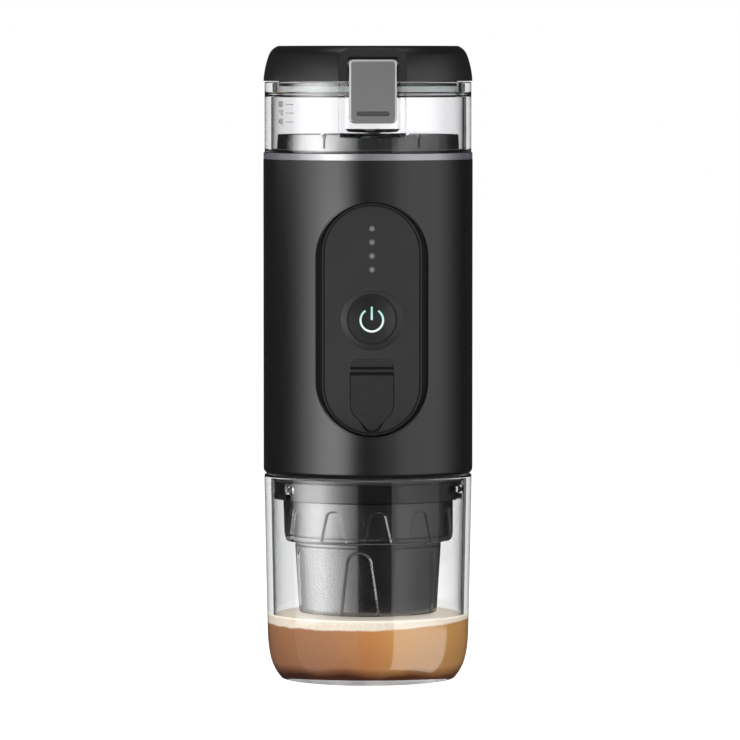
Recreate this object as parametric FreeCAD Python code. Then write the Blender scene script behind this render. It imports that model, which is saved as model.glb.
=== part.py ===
import FreeCAD, Part
import math
import os
from FreeCAD import Vector

# Portable electric espresso maker: a battery machine in a steel sleeve that brews straight into
# its own clear cup. Millimetres, +Z up. The origin is the centre of the cup's base on the table
# and the front, with the control panel, faces -Y. Angles are measured from the front towards +X.

# Clearances
sliding_gap = 0.3
running_gap = 0.1
close_gap = 0.05
pin_gap = 0.05

# Overall stack
cup_height = 74.4
sleeve_length = 114.0
tank_height = 28.0
lid_height = 12.7
body_radius = 38.0
edge_step = 0.3

# Cup
cup_wall = 3.0
cup_floor = 2.5
cup_base_inset = 5.9
cup_foot_height = 7.6
cup_waist_height = 20.0
cup_taper = 1.05
cup_foot_taper = 2.2
cup_rim_round = 0.8

# Bayonet between cup and machine
lug_count = 3
lug_angle = 65.0
lug_width = 6.0
lug_height = 2.5
lug_below_rim = 3.4
bayonet_turn = 25.0
track_depth = 1.0
seal_wire = 0.8
seal_below_rim = 1.35

# Sleeve and collar
sleeve_wall = 1.2
sleeve_round = 1.9
collar_drop = 8.7
collar_wall = 2.9
collar_flange = 3.5
cutout_chamfer = 0.4

# Decks, posts and screws
deck_thickness = 2.5
post_radius = 2.5
post_margin = 0.5
front_post_angle = 95.0
top_deck_drop = 3.0
screw_radius = 1.1
screw_head_radius = 2.2
screw_head_height = 1.6
collar_screw_angles = (65.0, 115.0, -65.0, -115.0)
head_screw_circle = 22.0
head_screw_angles = (0.0, 100.0, -100.0)
tank_screw_inset = 6.5
tank_screw_angles = (45.0, 135.0, -45.0, -135.0)

# Brew head
head_ceiling = 2.0
shower_thickness = 0.8
shower_chamber = 1.0
shower_hole_margin = 3.4
shower_row_count = 4
shower_hole = 0.6
gasket_thickness = 1.9
gasket_width = 2.7
spigot_radius = 3.0
spigot_bore = 1.5
spigot_length = 3.6
hose_wall = 1.4

# Portafilter
filter_ring_height = 14.3
filter_ring_gap = 0.3
ring_foot_round = 1.5
ring_shoulder = 3.0
neck_wall = 1.7
neck_drop = 0.2
thread_lead = 6.0
thread_starts = 2
thread_turns = 0.75
thread_run_out = 0.6
thread_end_room = 0.1
thread_depth = 1.2
thread_base = 1.5
thread_crest = 0.8
basket_clearance = 0.7
basket_wall = 0.5
basket_floor_gap = 1.5
basket_flange = 0.6
basket_hole_margin = 5.9
basket_row_count = 5
basket_hole = 0.5
pocket_count = 12
pocket_phase = 4.1
pocket_depth = 0.4
pocket_top_width = 6.2
pocket_bottom_width = 9.6
pocket_margin = 2.8
ring_groove = 0.5
cone_length = 27.0
cone_step = 0.4
cone_taper = 1.7
cone_wall = 1.6
cone_margin = 2.6
cone_collar_height = 3.6
arch_count = 6
arch_phase = -9.3
arch_depth = 0.5
arch_top_width = 8.6
arch_bottom_width = 13.2
funnel_wall = 1.0
funnel_drop = 14.0
outlet_radius = 4.0
outlet_length = 10.0

# Control panel
panel_rise = 0.2
cutout_width = 39.7
cutout_height = 84.0
panel_depth = 5.0
panel_side_gap = 2.0
panel_end_gap = 0.5
panel_plate = 1.8
panel_skirt = 1.2
panel_block = 3.5
bezel_wall = 1.3
bezel_floor = 1.5
bezel_spine = 16.0
lip_width = 0.45
lip_groove = 0.5
lip_groove_depth = 0.4
button_hole = 9.0
button_chamfer = 1.8
button_sink = 0.8
button_dish = 0.9
button_travel = 0.8
button_flange = 0.6
plunger_radius = 1.75
symbol_radius = 4.3
symbol_stroke = 1.1
symbol_gap_angle = 30.0
symbol_depth = 0.35
light_radius = 1.1
light_pitch = 4.9
light_count = 4
top_light_drop = 9.0

# Charging port and its cover
port_rise = 13.6
cover_width = 15.4
cover_corner = 2.9
cover_rise = 27.35
strap_height = 5.0
strap_stem_rise = 3.6
strap_crease_rise = 1.75
hinge_groove = 0.8
hinge_bead = 0.3
cover_thickness = 0.9
cover_pocket = 1.2
cover_gap = 0.25
flap_straight = 10.5
tab_width = 8.8
tab_end_width = 5.1
tab_start = 16.4
tab_bend = 0.75
flap_length = 19.7
socket_width = 8.9
socket_height = 3.2
socket_wall = 0.35
port_hole_gap = 0.4
nail_notch = 0.8
strap_stem = 1.2
plug_entry = 0.6
plunger_entry = 0.4

# Electronics
board_side_gap = 4.85
board_end_gap = 2.0
board_thickness = 1.6
board_standoff = 2.0
switch_side = 6.0
switch_height = 2.2
light_chip = 0.8
processor_side = 7.0
processor_height = 1.0
transistor_side = 5.0
transistor_height = 2.2
connector_side = 4.0
connector_height = 1.4
capacitor_radius = 2.2
capacitor_height = 3.8

# Insulated leads
lead_radius = 0.7
pack_lead_x = 8.0
pack_lead_rise = 11.9
coil_lead_x = 3.0
heater_lead_x = 6.0
heater_lead_setback = 8.4
heater_lead_drop = 3.9

# Pump
pump_setback = 4.0
mount_radius = 12.0
mount_bore = 8.2
mount_height = 6.0
outlet_flange = 4.0
outlet_sleeve_height = 6.1
valve_bore = 3.2
valve_depth = 6.5
ball_radius = 2.0
seat_hole = 1.2
seat_thickness = 1.2
core_radius = 6.0
core_wall = 0.9
core_length = 56.0
core_insert = 2.0
core_cap = 2.0
coil_radius = 15.0
coil_height = 26.0
coil_above_seat = 16.0
yoke_plate = 2.5
yoke_strap = 1.4
piston_length = 30.0
piston_rest = 8.0
barb_length = 8.0
spring_wire = 0.35
spring_turns = 7

# Batteries
cell_radius = 9.2
cell_length = 65.0
cell_gap = 1.1
cell_margin = 1.8
cell_neck = 3.0
cell_neck_height = 1.0
tray_wall = 1.3
tray_floor = 1.6
tray_lip = 11.0
strip_thickness = 0.3
strip_end_angle = 12.5
clamp_height = 8.0
clamp_top = 2.0

# Water tank and heater
tank_flange_step = 0.2
tank_flange_height = 2.5
tank_wall = 3.0
tank_rim_height = 5.1
tank_rim_extra = 1.3
tank_boss_radius = 2.4
pad_width = 24.0
pad_height = 19.7
pad_reach = 1.4
pad_bevel = 0.5
inner_pad_width = 19.7
inner_pad_height = 17.1
inner_pad_reach = 2.5
inner_pad_bevel = 1.1
heater_seat_width = 4.4
heater_flange = 1.0
heater_drop = 3.4
heater_wall = 1.0
gasket_sheet = 0.8
film_thickness = 1.0
inlet_spigot_length = 13.0
guard_inset = 1.7
guard_height = 6.6
guard_wall = 1.2
guard_flange = 1.6
guard_slot = 0.9
guard_slot_base = 1.8
guard_slot_count = 6
guard_tab_count = 3
guard_tab_angle = 16.0
sensor_height = 2.2

# Lid, hinge and latch
liner_flange = 1.6
vent_stem = 1.9
vent_cap = 0.6
latch_top_round = 0.8
latch_top_corner = 1.6
latch_bottom_corner = 2.0
latch_nib = 0.2
latch_slot = 11.8
latch_slot_height = 1.8
latch_slot_rise = 3.5
lid_wall = 2.0
lid_edge_step = 0.1
lid_side_lean = 1.8
lid_shoulder_drop = 3.7
lid_crown_inset = 5.3
liner_gap = 0.9
liner_depth = 5.4
liner_wall = 1.8
lid_seal_height = 2.0
lid_seal_drop = 3.8
lid_seal_groove = 0.6
hinge_reach = 3.5
hinge_pin_radius = 1.0
hinge_barrel_radius = 2.4
hinge_knuckle = 11.4
hinge_ear = 3.0
boss_drop = 1.2
boss_corner = 4.2
boss_reach = 3.2
boss_cheek = 3.15
boss_opening_corner = 1.2
latch_width = 17.05
latch_length = 22.8
latch_thickness = 1.1
latch_side_gap = 0.475
latch_sweep_room = 2.6
latch_barrel_radius = 1.6
latch_pin_radius = 0.8
latch_pin_setback = 0.9
latch_pin_drop = 5.3
latch_top_above_pin = 1.6

# Levels and radii that several pieces share
body_bottom = cup_height + sliding_gap
sleeve_top = body_bottom + sleeve_length
tank_top = sleeve_top + tank_height
lid_bottom = tank_top + sliding_gap
lid_top = lid_bottom + lid_height
sleeve_bore = body_radius - sleeve_wall
deck_radius = sleeve_bore - sliding_gap
cup_rim_radius = body_radius - edge_step
tank_flange_radius = body_radius - edge_step
tank_outer_radius = tank_flange_radius - tank_flange_step
lid_edge_radius = body_radius - lid_edge_step
collar_seat = body_bottom + sleeve_wall
bottom_deck_base = collar_seat + collar_flange
bottom_deck_top = bottom_deck_base + deck_thickness
top_deck_top = sleeve_top - top_deck_drop
top_deck_base = top_deck_top - deck_thickness
head_base = body_bottom - collar_drop
ceiling_base = bottom_deck_base - head_ceiling
ring_top = head_base - filter_ring_gap
ring_base = ring_top - filter_ring_height
panel_face = panel_depth - body_radius
bezel_front = panel_face + panel_block
board_front = bezel_front + bezel_floor + board_standoff
panel_height_middle = body_bottom + sleeve_length / 2 + panel_rise
panel_width = cutout_width - 2 * panel_side_gap
panel_height = cutout_height - 2 * panel_end_gap
panel_top = panel_height_middle + panel_height / 2
panel_bottom = panel_height_middle - panel_height / 2
cell_circle = deck_radius - cell_radius - cell_margin
cell_step = 2 * math.degrees(math.asin((cell_radius + cell_gap / 2) / cell_circle))
cell_angles = (180 - cell_step, 180.0, cell_step - 180)
post_circle = deck_radius - post_radius - post_margin
back_post_angle = 180 - cell_step / 2
post_angles = (front_post_angle, -front_post_angle, back_post_angle, -back_post_angle)
tank_screw_circle = tank_outer_radius - tank_screw_inset


# Shape helpers

def move(shape, x=0.0, y=0.0, z=0.0):
    shape.translate(Vector(x, y, z))
    return shape


def turn(shape, angle):
    """Turn a shape made at the front (-Y) about the Z axis, towards +X for a positive angle."""
    shape.rotate(Vector(0, 0, 0), Vector(0, 0, 1), angle)
    return shape


def cylinder(radius, bottom, top, x=0.0, y=0.0):
    return Part.makeCylinder(radius, top - bottom, Vector(x, y, bottom))


def ring(inner, outer, bottom, top, x=0.0, y=0.0):
    return cylinder(outer, bottom, top, x, y).cut(cylinder(inner, bottom - 1, top + 1, x, y))


def cone(bottom_radius, top_radius, bottom, top, x=0.0, y=0.0):
    return Part.makeCone(bottom_radius, top_radius, top - bottom, Vector(x, y, bottom))


def box(x0, x1, y0, y1, z0, z1):
    return Part.makeBox(x1 - x0, y1 - y0, z1 - z0, Vector(x0, y0, z0))


def rod(radius, y0, y1, x, z):
    """Cylinder along Y."""
    return Part.makeCylinder(radius, y1 - y0, Vector(x, y0, z), Vector(0, 1, 0))


def crossbar(radius, x0, x1, y, z):
    """Cylinder along X."""
    return Part.makeCylinder(radius, x1 - x0, Vector(x0, y, z), Vector(1, 0, 0))


def outline(start, steps, place):
    """Closed face. A step is a point for a line, or a pair of points for an arc."""
    edges = []
    here = start
    for step in steps:
        if isinstance(step[0], tuple):
            middle, end = step
            edges.append(Part.Arc(place(here), place(middle), place(end)).toShape())
        else:
            end = step
            edges.append(Part.LineSegment(place(here), place(end)).toShape())
        here = end
    if here != start:
        edges.append(Part.LineSegment(place(here), place(start)).toShape())
    return Part.Face(Part.Wire(edges))


def turned(start, *steps):
    """Solid of revolution about Z from (radius, height) points."""
    face = outline(start, steps, lambda point: Vector(point[0], 0, point[1]))
    return face.revolve(Vector(0, 0, 0), Vector(0, 0, 1), 360)


def front_prism(start, *steps, back, front):
    """Prism along Y from (x, z) points."""
    face = outline(start, steps, lambda point: Vector(point[0], front, point[1]))
    return face.extrude(Vector(0, back - front, 0))


def side_prism(start, *steps, half_width):
    """Prism along X, centred, from (y, z) points."""
    face = outline(start, steps, lambda point: Vector(-half_width, point[0], point[1]))
    return face.extrude(Vector(2 * half_width, 0, 0))


def stadium(width, height, middle, front, back):
    """Upright slot shape with round ends, as a prism along Y."""
    radius = width / 2
    straight = height / 2 - radius
    low = middle - straight
    high = middle + straight
    return front_prism(
        (-radius, low),
        ((0, low - radius), (radius, low)),
        (radius, high),
        ((0, high + radius), (-radius, high)),
        front=front, back=back)


def sector(inner, outer, bottom, top, middle_angle, width_angle):
    """Part of a ring, centred on an angle from the front."""
    start = -90 + middle_angle - width_angle / 2
    outer_part = Part.makeCylinder(outer, top - bottom, Vector(0, 0, bottom), Vector(0, 0, 1), width_angle)
    inner_part = Part.makeCylinder(inner, top - bottom + 2, Vector(0, 0, bottom - 1))
    return turn(outer_part, start).cut(inner_part)


def around(circle, angle):
    """Point on a circle about the Z axis, at an angle from the front."""
    return (circle * math.sin(math.radians(angle)), -circle * math.cos(math.radians(angle)))


def joined(shapes):
    shapes = list(shapes)
    if len(shapes) == 1:
        return shapes[0]
    return shapes[0].multiFuse(shapes[1:]).removeSplitter()


def drilled(shape, tools):
    return shape.cut(Part.makeCompound(list(tools)))


def group(shapes):
    """Separate solids that share one node."""
    return Part.makeCompound(list(shapes))


def coil_spring(radius, wire, bottom, top, turns):
    """Open compression spring about the Z axis."""
    height = top - bottom - 2 * wire
    path = Part.Wire(Part.makeHelix(height / turns, height, radius))
    section = Part.Wire(Part.makeCircle(wire, Vector(radius, 0, 0), Vector(0, 1, 0)))
    return move(path.makePipeShell([section], True, True), z=bottom + wire)


def save(name, shape):
    shape.exportStep("parts/" + name + ".step")


def bow(start, end, rise):
    """Step to the end point along an arc that bulges to the right of the way there."""
    length = math.dist(start, end)
    middle_r = (start[0] + end[0]) / 2 + rise * (end[1] - start[1]) / length
    middle_z = (start[1] + end[1]) / 2 - rise * (end[0] - start[0]) / length
    return ((middle_r, middle_z), end)


def corner(start, end):
    """Quarter round between two points that lie level and plumb of its centre."""
    radius = abs(end[0] - start[0])
    return bow(start, end, radius * (1 - math.cos(math.radians(45))))


def inner_corner(start, end):
    """Quarter round that is hollow on the right of the way."""
    radius = abs(end[0] - start[0])
    return bow(start, end, -radius * (1 - math.cos(math.radians(45))))


def screw(x, y, seat, tip):
    """Pan-head screw. The head lies on the seat, on the side away from the tip."""
    away = 1 if seat > tip else -1
    head_end = seat + away * screw_head_height
    recess = seat + away * screw_head_height / 2
    body = joined([
        cylinder(screw_head_radius, min(seat, head_end), max(seat, head_end), x, y),
        cylinder(screw_radius, min(seat, tip), max(seat, tip), x, y)])
    reach = screw_head_radius * 0.6
    width = screw_radius * 0.25
    low = min(recess, head_end)
    high = max(recess, head_end)
    slots = [
        box(x - reach, x + reach, y - width, y + width, low, high),
        box(x - width, x + width, y - reach, y + reach, low, high)]
    return drilled(body, slots)


def flush_screw(x, y, seat, tip):
    """Countersunk screw from below, with its head level with the seat."""
    head = cone(screw_head_radius, screw_radius, seat, seat + screw_head_height, x, y)
    return joined([head, cylinder(screw_radius, seat, tip, x, y)])


def screw_hole(x, y, bottom, top):
    return cylinder(screw_radius + close_gap, bottom, top, x, y)


# Cup and its bayonet

cup_rim_inner = cup_rim_radius - cup_wall
collar_radius = cup_rim_inner - sliding_gap - 2 * running_gap
collar_bore = collar_radius - collar_wall
track_radius = collar_radius - track_depth
lug_top = cup_height - lug_below_rim
lug_base = lug_top - lug_height
seal_radius = cup_rim_inner - sliding_gap / 2 - seal_wire
seal_level = cup_height - seal_below_rim


def drinking_cup():
    waist = cup_rim_radius - cup_taper
    foot = (cup_rim_radius - cup_foot_taper, cup_foot_height)
    inner_waist = waist - cup_wall
    bowl_corner = cup_waist_height / 2
    base_edge = (cup_rim_radius - cup_base_inset, 0)
    shoulder = (waist, cup_waist_height)
    rim_side = (cup_rim_radius, cup_height - cup_rim_round)
    rim_out = (cup_rim_radius - cup_rim_round, cup_height)
    rim_in = (cup_rim_inner + cup_rim_round, cup_height)
    rim_bore = (cup_rim_inner, cup_height - cup_rim_round)
    bowl_side = (inner_waist, cup_floor + bowl_corner)
    bowl_floor = (inner_waist - bowl_corner, cup_floor)
    shell = turned(
        (0, 0),
        base_edge,
        bow(base_edge, foot, 0.35),
        bow(foot, shoulder, 0.2),
        rim_side,
        corner(rim_side, rim_out),
        rim_in,
        corner(rim_in, rim_bore),
        (inner_waist, cup_waist_height),
        bowl_side,
        inner_corner(bowl_side, bowl_floor),
        (0, cup_floor))
    lugs = [
        sector(track_radius + sliding_gap, cup_rim_inner + cup_wall / 3, lug_base, lug_top,
               lug_angle + turn_step * 360 / lug_count, lug_width)
        for turn_step in range(lug_count)]
    return joined([shell] + lugs)


def cup_seal():
    return Part.makeTorus(seal_radius, seal_wire, Vector(0, 0, seal_level))


def cup_collar():
    body = joined([
        ring(collar_bore, collar_radius, head_base, collar_seat),
        ring(collar_bore, deck_radius, collar_seat, bottom_deck_base)])
    leg_width = lug_width + 2
    track_top = lug_top + sliding_gap
    cuts = [ring(
        seal_radius - seal_wire - running_gap, collar_radius + 1,
        seal_level - seal_wire - running_gap / 2, seal_level + seal_wire + running_gap / 2)]
    for step in range(lug_count):
        angle = lug_angle + step * 360 / lug_count
        cuts.append(sector(track_radius, collar_radius + 1, head_base - 1, track_top, angle, leg_width))
        cuts.append(sector(
            track_radius, collar_radius + 1, lug_base - sliding_gap, track_top,
            angle - bayonet_turn / 2, bayonet_turn + leg_width))
    for angle in collar_screw_angles:
        x, y = around(collar_screw_circle, angle)
        cuts.append(screw_hole(x, y, collar_screw_tip, bottom_deck_base + 1))
    return drilled(body, cuts)


# Decks, posts and their screws

collar_screw_circle = (collar_bore + deck_radius) / 2
collar_screw_tip = collar_seat + sliding_gap * 2
head_screw_tip = ceiling_base + sliding_gap * 2
post_screw_reach = 6.0


def hose_passage(bottom, top):
    return cylinder(spigot_radius + close_gap + hose_wall + sliding_gap, bottom, top, 0, -pump_setback)


def bottom_deck():
    cuts = [hose_passage(bottom_deck_base - 1, bottom_deck_top + 1)]
    for angle in collar_screw_angles:
        x, y = around(collar_screw_circle, angle)
        cuts.append(screw_hole(x, y, bottom_deck_base - 1, bottom_deck_top + 1))
    for angle in head_screw_angles:
        x, y = around(head_screw_circle, angle)
        cuts.append(screw_hole(x, y, bottom_deck_base - 1, bottom_deck_top + 1))
    for angle in post_angles:
        x, y = around(post_circle, angle)
        cuts.append(screw_hole(x, y, bottom_deck_base - 1, bottom_deck_top + 1))
        cuts.append(cone(
            screw_head_radius + close_gap, screw_radius + close_gap,
            bottom_deck_base, bottom_deck_base + screw_head_height, x, y))
    return drilled(cylinder(deck_radius, bottom_deck_base, bottom_deck_top), cuts)


def frame_posts():
    posts = []
    for angle in post_angles:
        x, y = around(post_circle, angle)
        post = cylinder(post_radius, bottom_deck_top, top_deck_base, x, y)
        posts.append(drilled(post, [
            screw_hole(x, y, bottom_deck_top - 1, bottom_deck_top + post_screw_reach + 1),
            screw_hole(x, y, top_deck_base - post_screw_reach - 1, top_deck_base + 1)]))
    return group(posts)


def top_deck():
    cuts = [hose_passage(top_deck_base - 1, top_deck_top + 1)]
    for angle in post_angles:
        x, y = around(post_circle, angle)
        cuts.append(screw_hole(x, y, top_deck_base - 1, top_deck_top + 1))
    for angle in tank_screw_angles:
        x, y = around(tank_screw_circle, angle)
        cuts.append(screw_hole(x, y, top_deck_base - 1, top_deck_top + 1))
    for x in (-heater_lead_x, heater_lead_x):
        cuts.append(cylinder(lead_radius + sliding_gap, top_deck_base - 1, top_deck_top + 1, x, heater_lead_y))
    return drilled(cylinder(deck_radius, top_deck_base, top_deck_top), cuts)


def deck_screws():
    screws = []
    for angle in collar_screw_angles:
        x, y = around(collar_screw_circle, angle)
        screws.append(screw(x, y, bottom_deck_top, collar_screw_tip + running_gap))
    for angle in head_screw_angles:
        x, y = around(head_screw_circle, angle)
        screws.append(screw(x, y, bottom_deck_top, head_screw_tip + running_gap))
    for angle in post_angles:
        x, y = around(post_circle, angle)
        screws.append(flush_screw(x, y, bottom_deck_base, bottom_deck_top + post_screw_reach))
        screws.append(screw(x, y, top_deck_top, top_deck_base - post_screw_reach))
    for angle in tank_screw_angles:
        x, y = around(tank_screw_circle, angle)
        screws.append(screw(x, y, top_deck_base, tank_screw_tip - running_gap))
    return group(screws)


# Steel sleeve with the cut-out for the panel

def outer_sleeve():
    foot_side = (body_radius, body_bottom + sleeve_round)
    foot_under = (body_radius - sleeve_round, body_bottom)
    lip_bore = collar_radius + sliding_gap
    shell = turned(
        (lip_bore, body_bottom),
        foot_under,
        corner(foot_under, foot_side),
        (body_radius, sleeve_top),
        (sleeve_bore, sleeve_top),
        (sleeve_bore, collar_seat),
        (lip_bore, collar_seat))
    opening = stadium(cutout_width, cutout_height, panel_height_middle, -body_radius - 1, 0)
    flare = stadium(
        cutout_width + 2 * cutout_chamfer, cutout_height + 2 * cutout_chamfer,
        panel_height_middle, -body_radius - 1, 0)
    skin = ring(body_radius - cutout_chamfer, body_radius + 1, body_bottom, sleeve_top)
    return shell.cut(opening).cut(flare.common(skin))


# Brew head: ceiling, screw thread for the filter holder, shower and gasket

head_radius = collar_bore - sliding_gap
filter_ring_radius = head_radius - running_gap
neck_radius = filter_ring_radius - ring_shoulder
head_bore = neck_radius + sliding_gap
basket_seat = body_bottom - neck_drop
gasket_base = basket_seat + basket_flange + sliding_gap
gasket_outer = head_bore - sliding_gap
gasket_inner = gasket_outer - gasket_width
shower_radius = gasket_inner - 2 * running_gap
shower_top = ceiling_base - shower_chamber
shower_base = shower_top - shower_thickness
thread_start = ring_top + thread_base


def thread(root, depth, base, crest, lead_in, turns):
    """Helical ridges, one per start, that stand on a root radius. They begin lead_in turns
    below the first ridge of the filter holder, so that male and female threads line up."""
    ridges = []
    bottom = thread_start - lead_in * thread_lead
    for start in range(thread_starts):
        path = Part.Wire(Part.makeHelix(thread_lead, turns * thread_lead, root))
        section = Part.makePolygon([
            Vector(root - sliding_gap, 0, -base / 2),
            Vector(root + depth, 0, -crest / 2),
            Vector(root + depth, 0, crest / 2),
            Vector(root - sliding_gap, 0, base / 2),
            Vector(root - sliding_gap, 0, -base / 2)])
        ridge = path.makePipeShell([section], True, True)
        turn(ridge, 360 * start / thread_starts - 360 * lead_in)
        ridges.append(move(ridge, z=bottom))
    return ridges


def brew_head():
    pot = ring(head_bore, head_radius, head_base, ceiling_base)
    ceiling = cylinder(head_radius, ceiling_base, bottom_deck_base)
    hub = cylinder(2 * screw_radius, shower_top, ceiling_base)
    spigot_top = bottom_deck_base + spigot_length
    spigot = cylinder(spigot_radius, bottom_deck_base - running_gap, spigot_top, 0, -pump_setback)
    cuts = thread(
        head_bore, thread_depth, thread_base + 2 * sliding_gap, thread_crest + 2 * sliding_gap,
        thread_run_out, thread_turns + thread_run_out + thread_end_room)
    cuts.append(cylinder(spigot_bore, shower_top - 1, spigot_top + 1, 0, -pump_setback))
    cuts.append(screw_hole(0, 0, shower_top - 1, bottom_deck_base - sliding_gap))
    for angle in head_screw_angles:
        x, y = around(head_screw_circle, angle)
        cuts.append(screw_hole(x, y, head_screw_tip, bottom_deck_base + 1))
    return drilled(joined([pot, ceiling, hub, spigot]), cuts)


def holes_in_rows(outer_circle, row_count, radius, bottom, top):
    """Vertical holes in evenly spaced rings, with six more holes in each ring than in the last."""
    holes = []
    for row in range(1, row_count + 1):
        for step in range(6 * row):
            x, y = around(outer_circle * row / row_count, step * 60 / row)
            holes.append(cylinder(radius, bottom, top, x, y))
    return holes


def shower_plate():
    plate = cylinder(shower_radius, shower_base, shower_top)
    cuts = holes_in_rows(
        shower_radius - shower_hole_margin, shower_row_count, shower_hole, shower_base - 1, shower_top + 1)
    cuts.append(screw_hole(0, 0, shower_base - 1, shower_top + 1))
    return drilled(plate, cuts)


def shower_screw():
    return screw(0, 0, shower_base, ceiling_base + head_ceiling / 2)


def brew_gasket():
    return ring(gasket_inner, gasket_outer, gasket_base, gasket_base + gasket_thickness)


# Filter holder: threaded ring, basket, spout cone and funnel

cone_collar_radius = neck_radius - basket_clearance - running_gap
cone_collar_top = ring_base + cone_collar_height
cone_top_radius = cone_collar_radius - cone_step
cone_bottom_radius = cone_top_radius - cone_taper
funnel_flange_top = cone_collar_top + funnel_wall
basket_radius = neck_radius - neck_wall - sliding_gap


def arch(bottom_width, top_width, bottom, top, radius, depth):
    """Cutter for an arch-shaped hollow at the front of a round wall."""
    half_top = top_width / 2
    half_bottom = bottom_width / 2
    spring = top - half_top
    return front_prism(
        (half_bottom, bottom),
        (half_top, spring),
        ((0, top), (-half_top, spring)),
        (-half_bottom, bottom),
        front=-radius - 1, back=-radius + 4 * depth)


def portafilter_ring():
    neck_bore = neck_radius - neck_wall
    foot_side = (filter_ring_radius, ring_base + ring_foot_round)
    foot_under = (filter_ring_radius - ring_foot_round, ring_base)
    groove_level = ring_base + ring_foot_round
    body = turned(
        (cone_collar_radius + running_gap, ring_base),
        foot_under,
        corner(foot_under, foot_side),
        (filter_ring_radius - ring_groove / 2, groove_level + ring_groove / 4),
        (filter_ring_radius, groove_level + ring_groove),
        (filter_ring_radius, ring_top - ring_groove),
        (filter_ring_radius - ring_groove, ring_top),
        (neck_radius, ring_top),
        (neck_radius, basket_seat),
        (neck_bore, basket_seat),
        (neck_bore, funnel_flange_top),
        (cone_collar_radius + running_gap, funnel_flange_top))
    body = joined([body] + thread(neck_radius, thread_depth, thread_base, thread_crest, 0, thread_turns))
    shell = ring(filter_ring_radius - pocket_depth, filter_ring_radius + 1, ring_base, ring_top)
    pockets = []
    for step in range(pocket_count):
        pocket = arch(
            pocket_bottom_width, pocket_top_width, ring_base + pocket_margin,
            ring_top - pocket_margin, filter_ring_radius, pocket_depth)
        pockets.append(turn(pocket, pocket_phase + step * 360 / pocket_count))
    return body.cut(Part.makeCompound(pockets).common(shell))


def filter_basket():
    inner = basket_radius - basket_wall
    floor = funnel_flange_top + basket_floor_gap
    body = turned(
        (0, floor),
        (basket_radius, floor),
        (basket_radius, basket_seat),
        (neck_radius - sliding_gap, basket_seat),
        (neck_radius - sliding_gap, basket_seat + basket_flange),
        (inner, basket_seat + basket_flange),
        (inner, floor + basket_wall),
        (0, floor + basket_wall))
    return drilled(body, holes_in_rows(
        basket_radius - basket_hole_margin, basket_row_count, basket_hole, floor - 1, floor + 1))


def spout_cone():
    bottom = ring_base - cone_length
    collar_bore = cone_collar_radius - cone_wall
    body = turned(
        (cone_bottom_radius - cone_wall, bottom),
        (cone_bottom_radius, bottom),
        (cone_top_radius, ring_base - sliding_gap),
        (cone_top_radius, ring_base),
        (cone_collar_radius, ring_base),
        (cone_collar_radius, cone_collar_top),
        (collar_bore, cone_collar_top),
        (collar_bore, ring_base))
    core = cone(cone_bottom_radius - arch_depth, cone_top_radius - arch_depth, bottom - 1, ring_base)
    arches = []
    for step in range(arch_count):
        hollow = arch(
            arch_bottom_width, arch_top_width, bottom - 1, ring_base - cone_margin,
            cone_top_radius, 2 * arch_depth)
        arches.append(turn(hollow, arch_phase + step * 360 / arch_count))
    return body.cut(Part.makeCompound(arches).cut(core))


def spout_insert():
    rim = cone_collar_radius - cone_wall
    throat = funnel_flange_top - funnel_wall - funnel_drop
    tip = throat - outlet_length
    return turned(
        (outlet_radius - funnel_wall, tip),
        (outlet_radius, tip),
        (outlet_radius, throat),
        (rim - sliding_gap, cone_collar_top),
        (cone_collar_radius, cone_collar_top),
        (cone_collar_radius, funnel_flange_top),
        (rim - sliding_gap - funnel_wall, funnel_flange_top),
        (outlet_radius - funnel_wall, throat + funnel_wall))


# Control panel, its pocket and what is behind it

button_edge = button_hole - running_gap * 2
panel_back = panel_face + panel_plate
light_levels = [panel_top - top_light_drop - step * light_pitch for step in range(light_count)]
port_level = panel_bottom + port_rise
cover_level = panel_bottom + cover_rise
strap_base = cover_level - strap_height
flap_top = strap_base - hinge_groove
flap_hinge = strap_base - hinge_groove / 2
flap_floor = panel_face + cover_pocket
board_width = cutout_width - 2 * board_side_gap
board_height = cutout_height - 2 * board_end_gap


def panel_bezel():
    pocket_width = cutout_width + 2 * running_gap
    pocket_height = cutout_height + 2 * running_gap
    bezel_back = bezel_front + bezel_floor
    tub = stadium(
        pocket_width + 2 * bezel_wall, pocket_height + 2 * bezel_wall, panel_height_middle,
        -body_radius, bezel_back)
    pocket = stadium(pocket_width, pocket_height, panel_height_middle, -body_radius - 1, bezel_front)
    inside = cylinder(sleeve_bore - running_gap, bottom_deck_top, top_deck_base)
    spine = box(-bezel_spine / 2, bezel_spine / 2, bezel_front, bezel_back,
                bottom_deck_top, top_deck_base)
    standoffs = [
        rod(post_radius, bezel_back - running_gap, board_front, x, z) for x, z in board_corners()]
    cuts = [rod(switch_side * 0.75, bezel_front - 1, bezel_back + 1, 0, panel_height_middle)]
    cuts += [
        rod(light_radius + running_gap, bezel_front - 1, bezel_back + 1, 0, z)
        for z in light_levels]
    cuts.append(port_window(bezel_front - 1, bezel_back + 1))
    cuts += [
        rod(screw_radius + close_gap, bezel_front + bezel_floor / 2, board_front + 1, x, z)
        for x, z in board_corners()]
    return drilled(joined([tub.cut(pocket).common(inside), spine] + standoffs), cuts)


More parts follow.
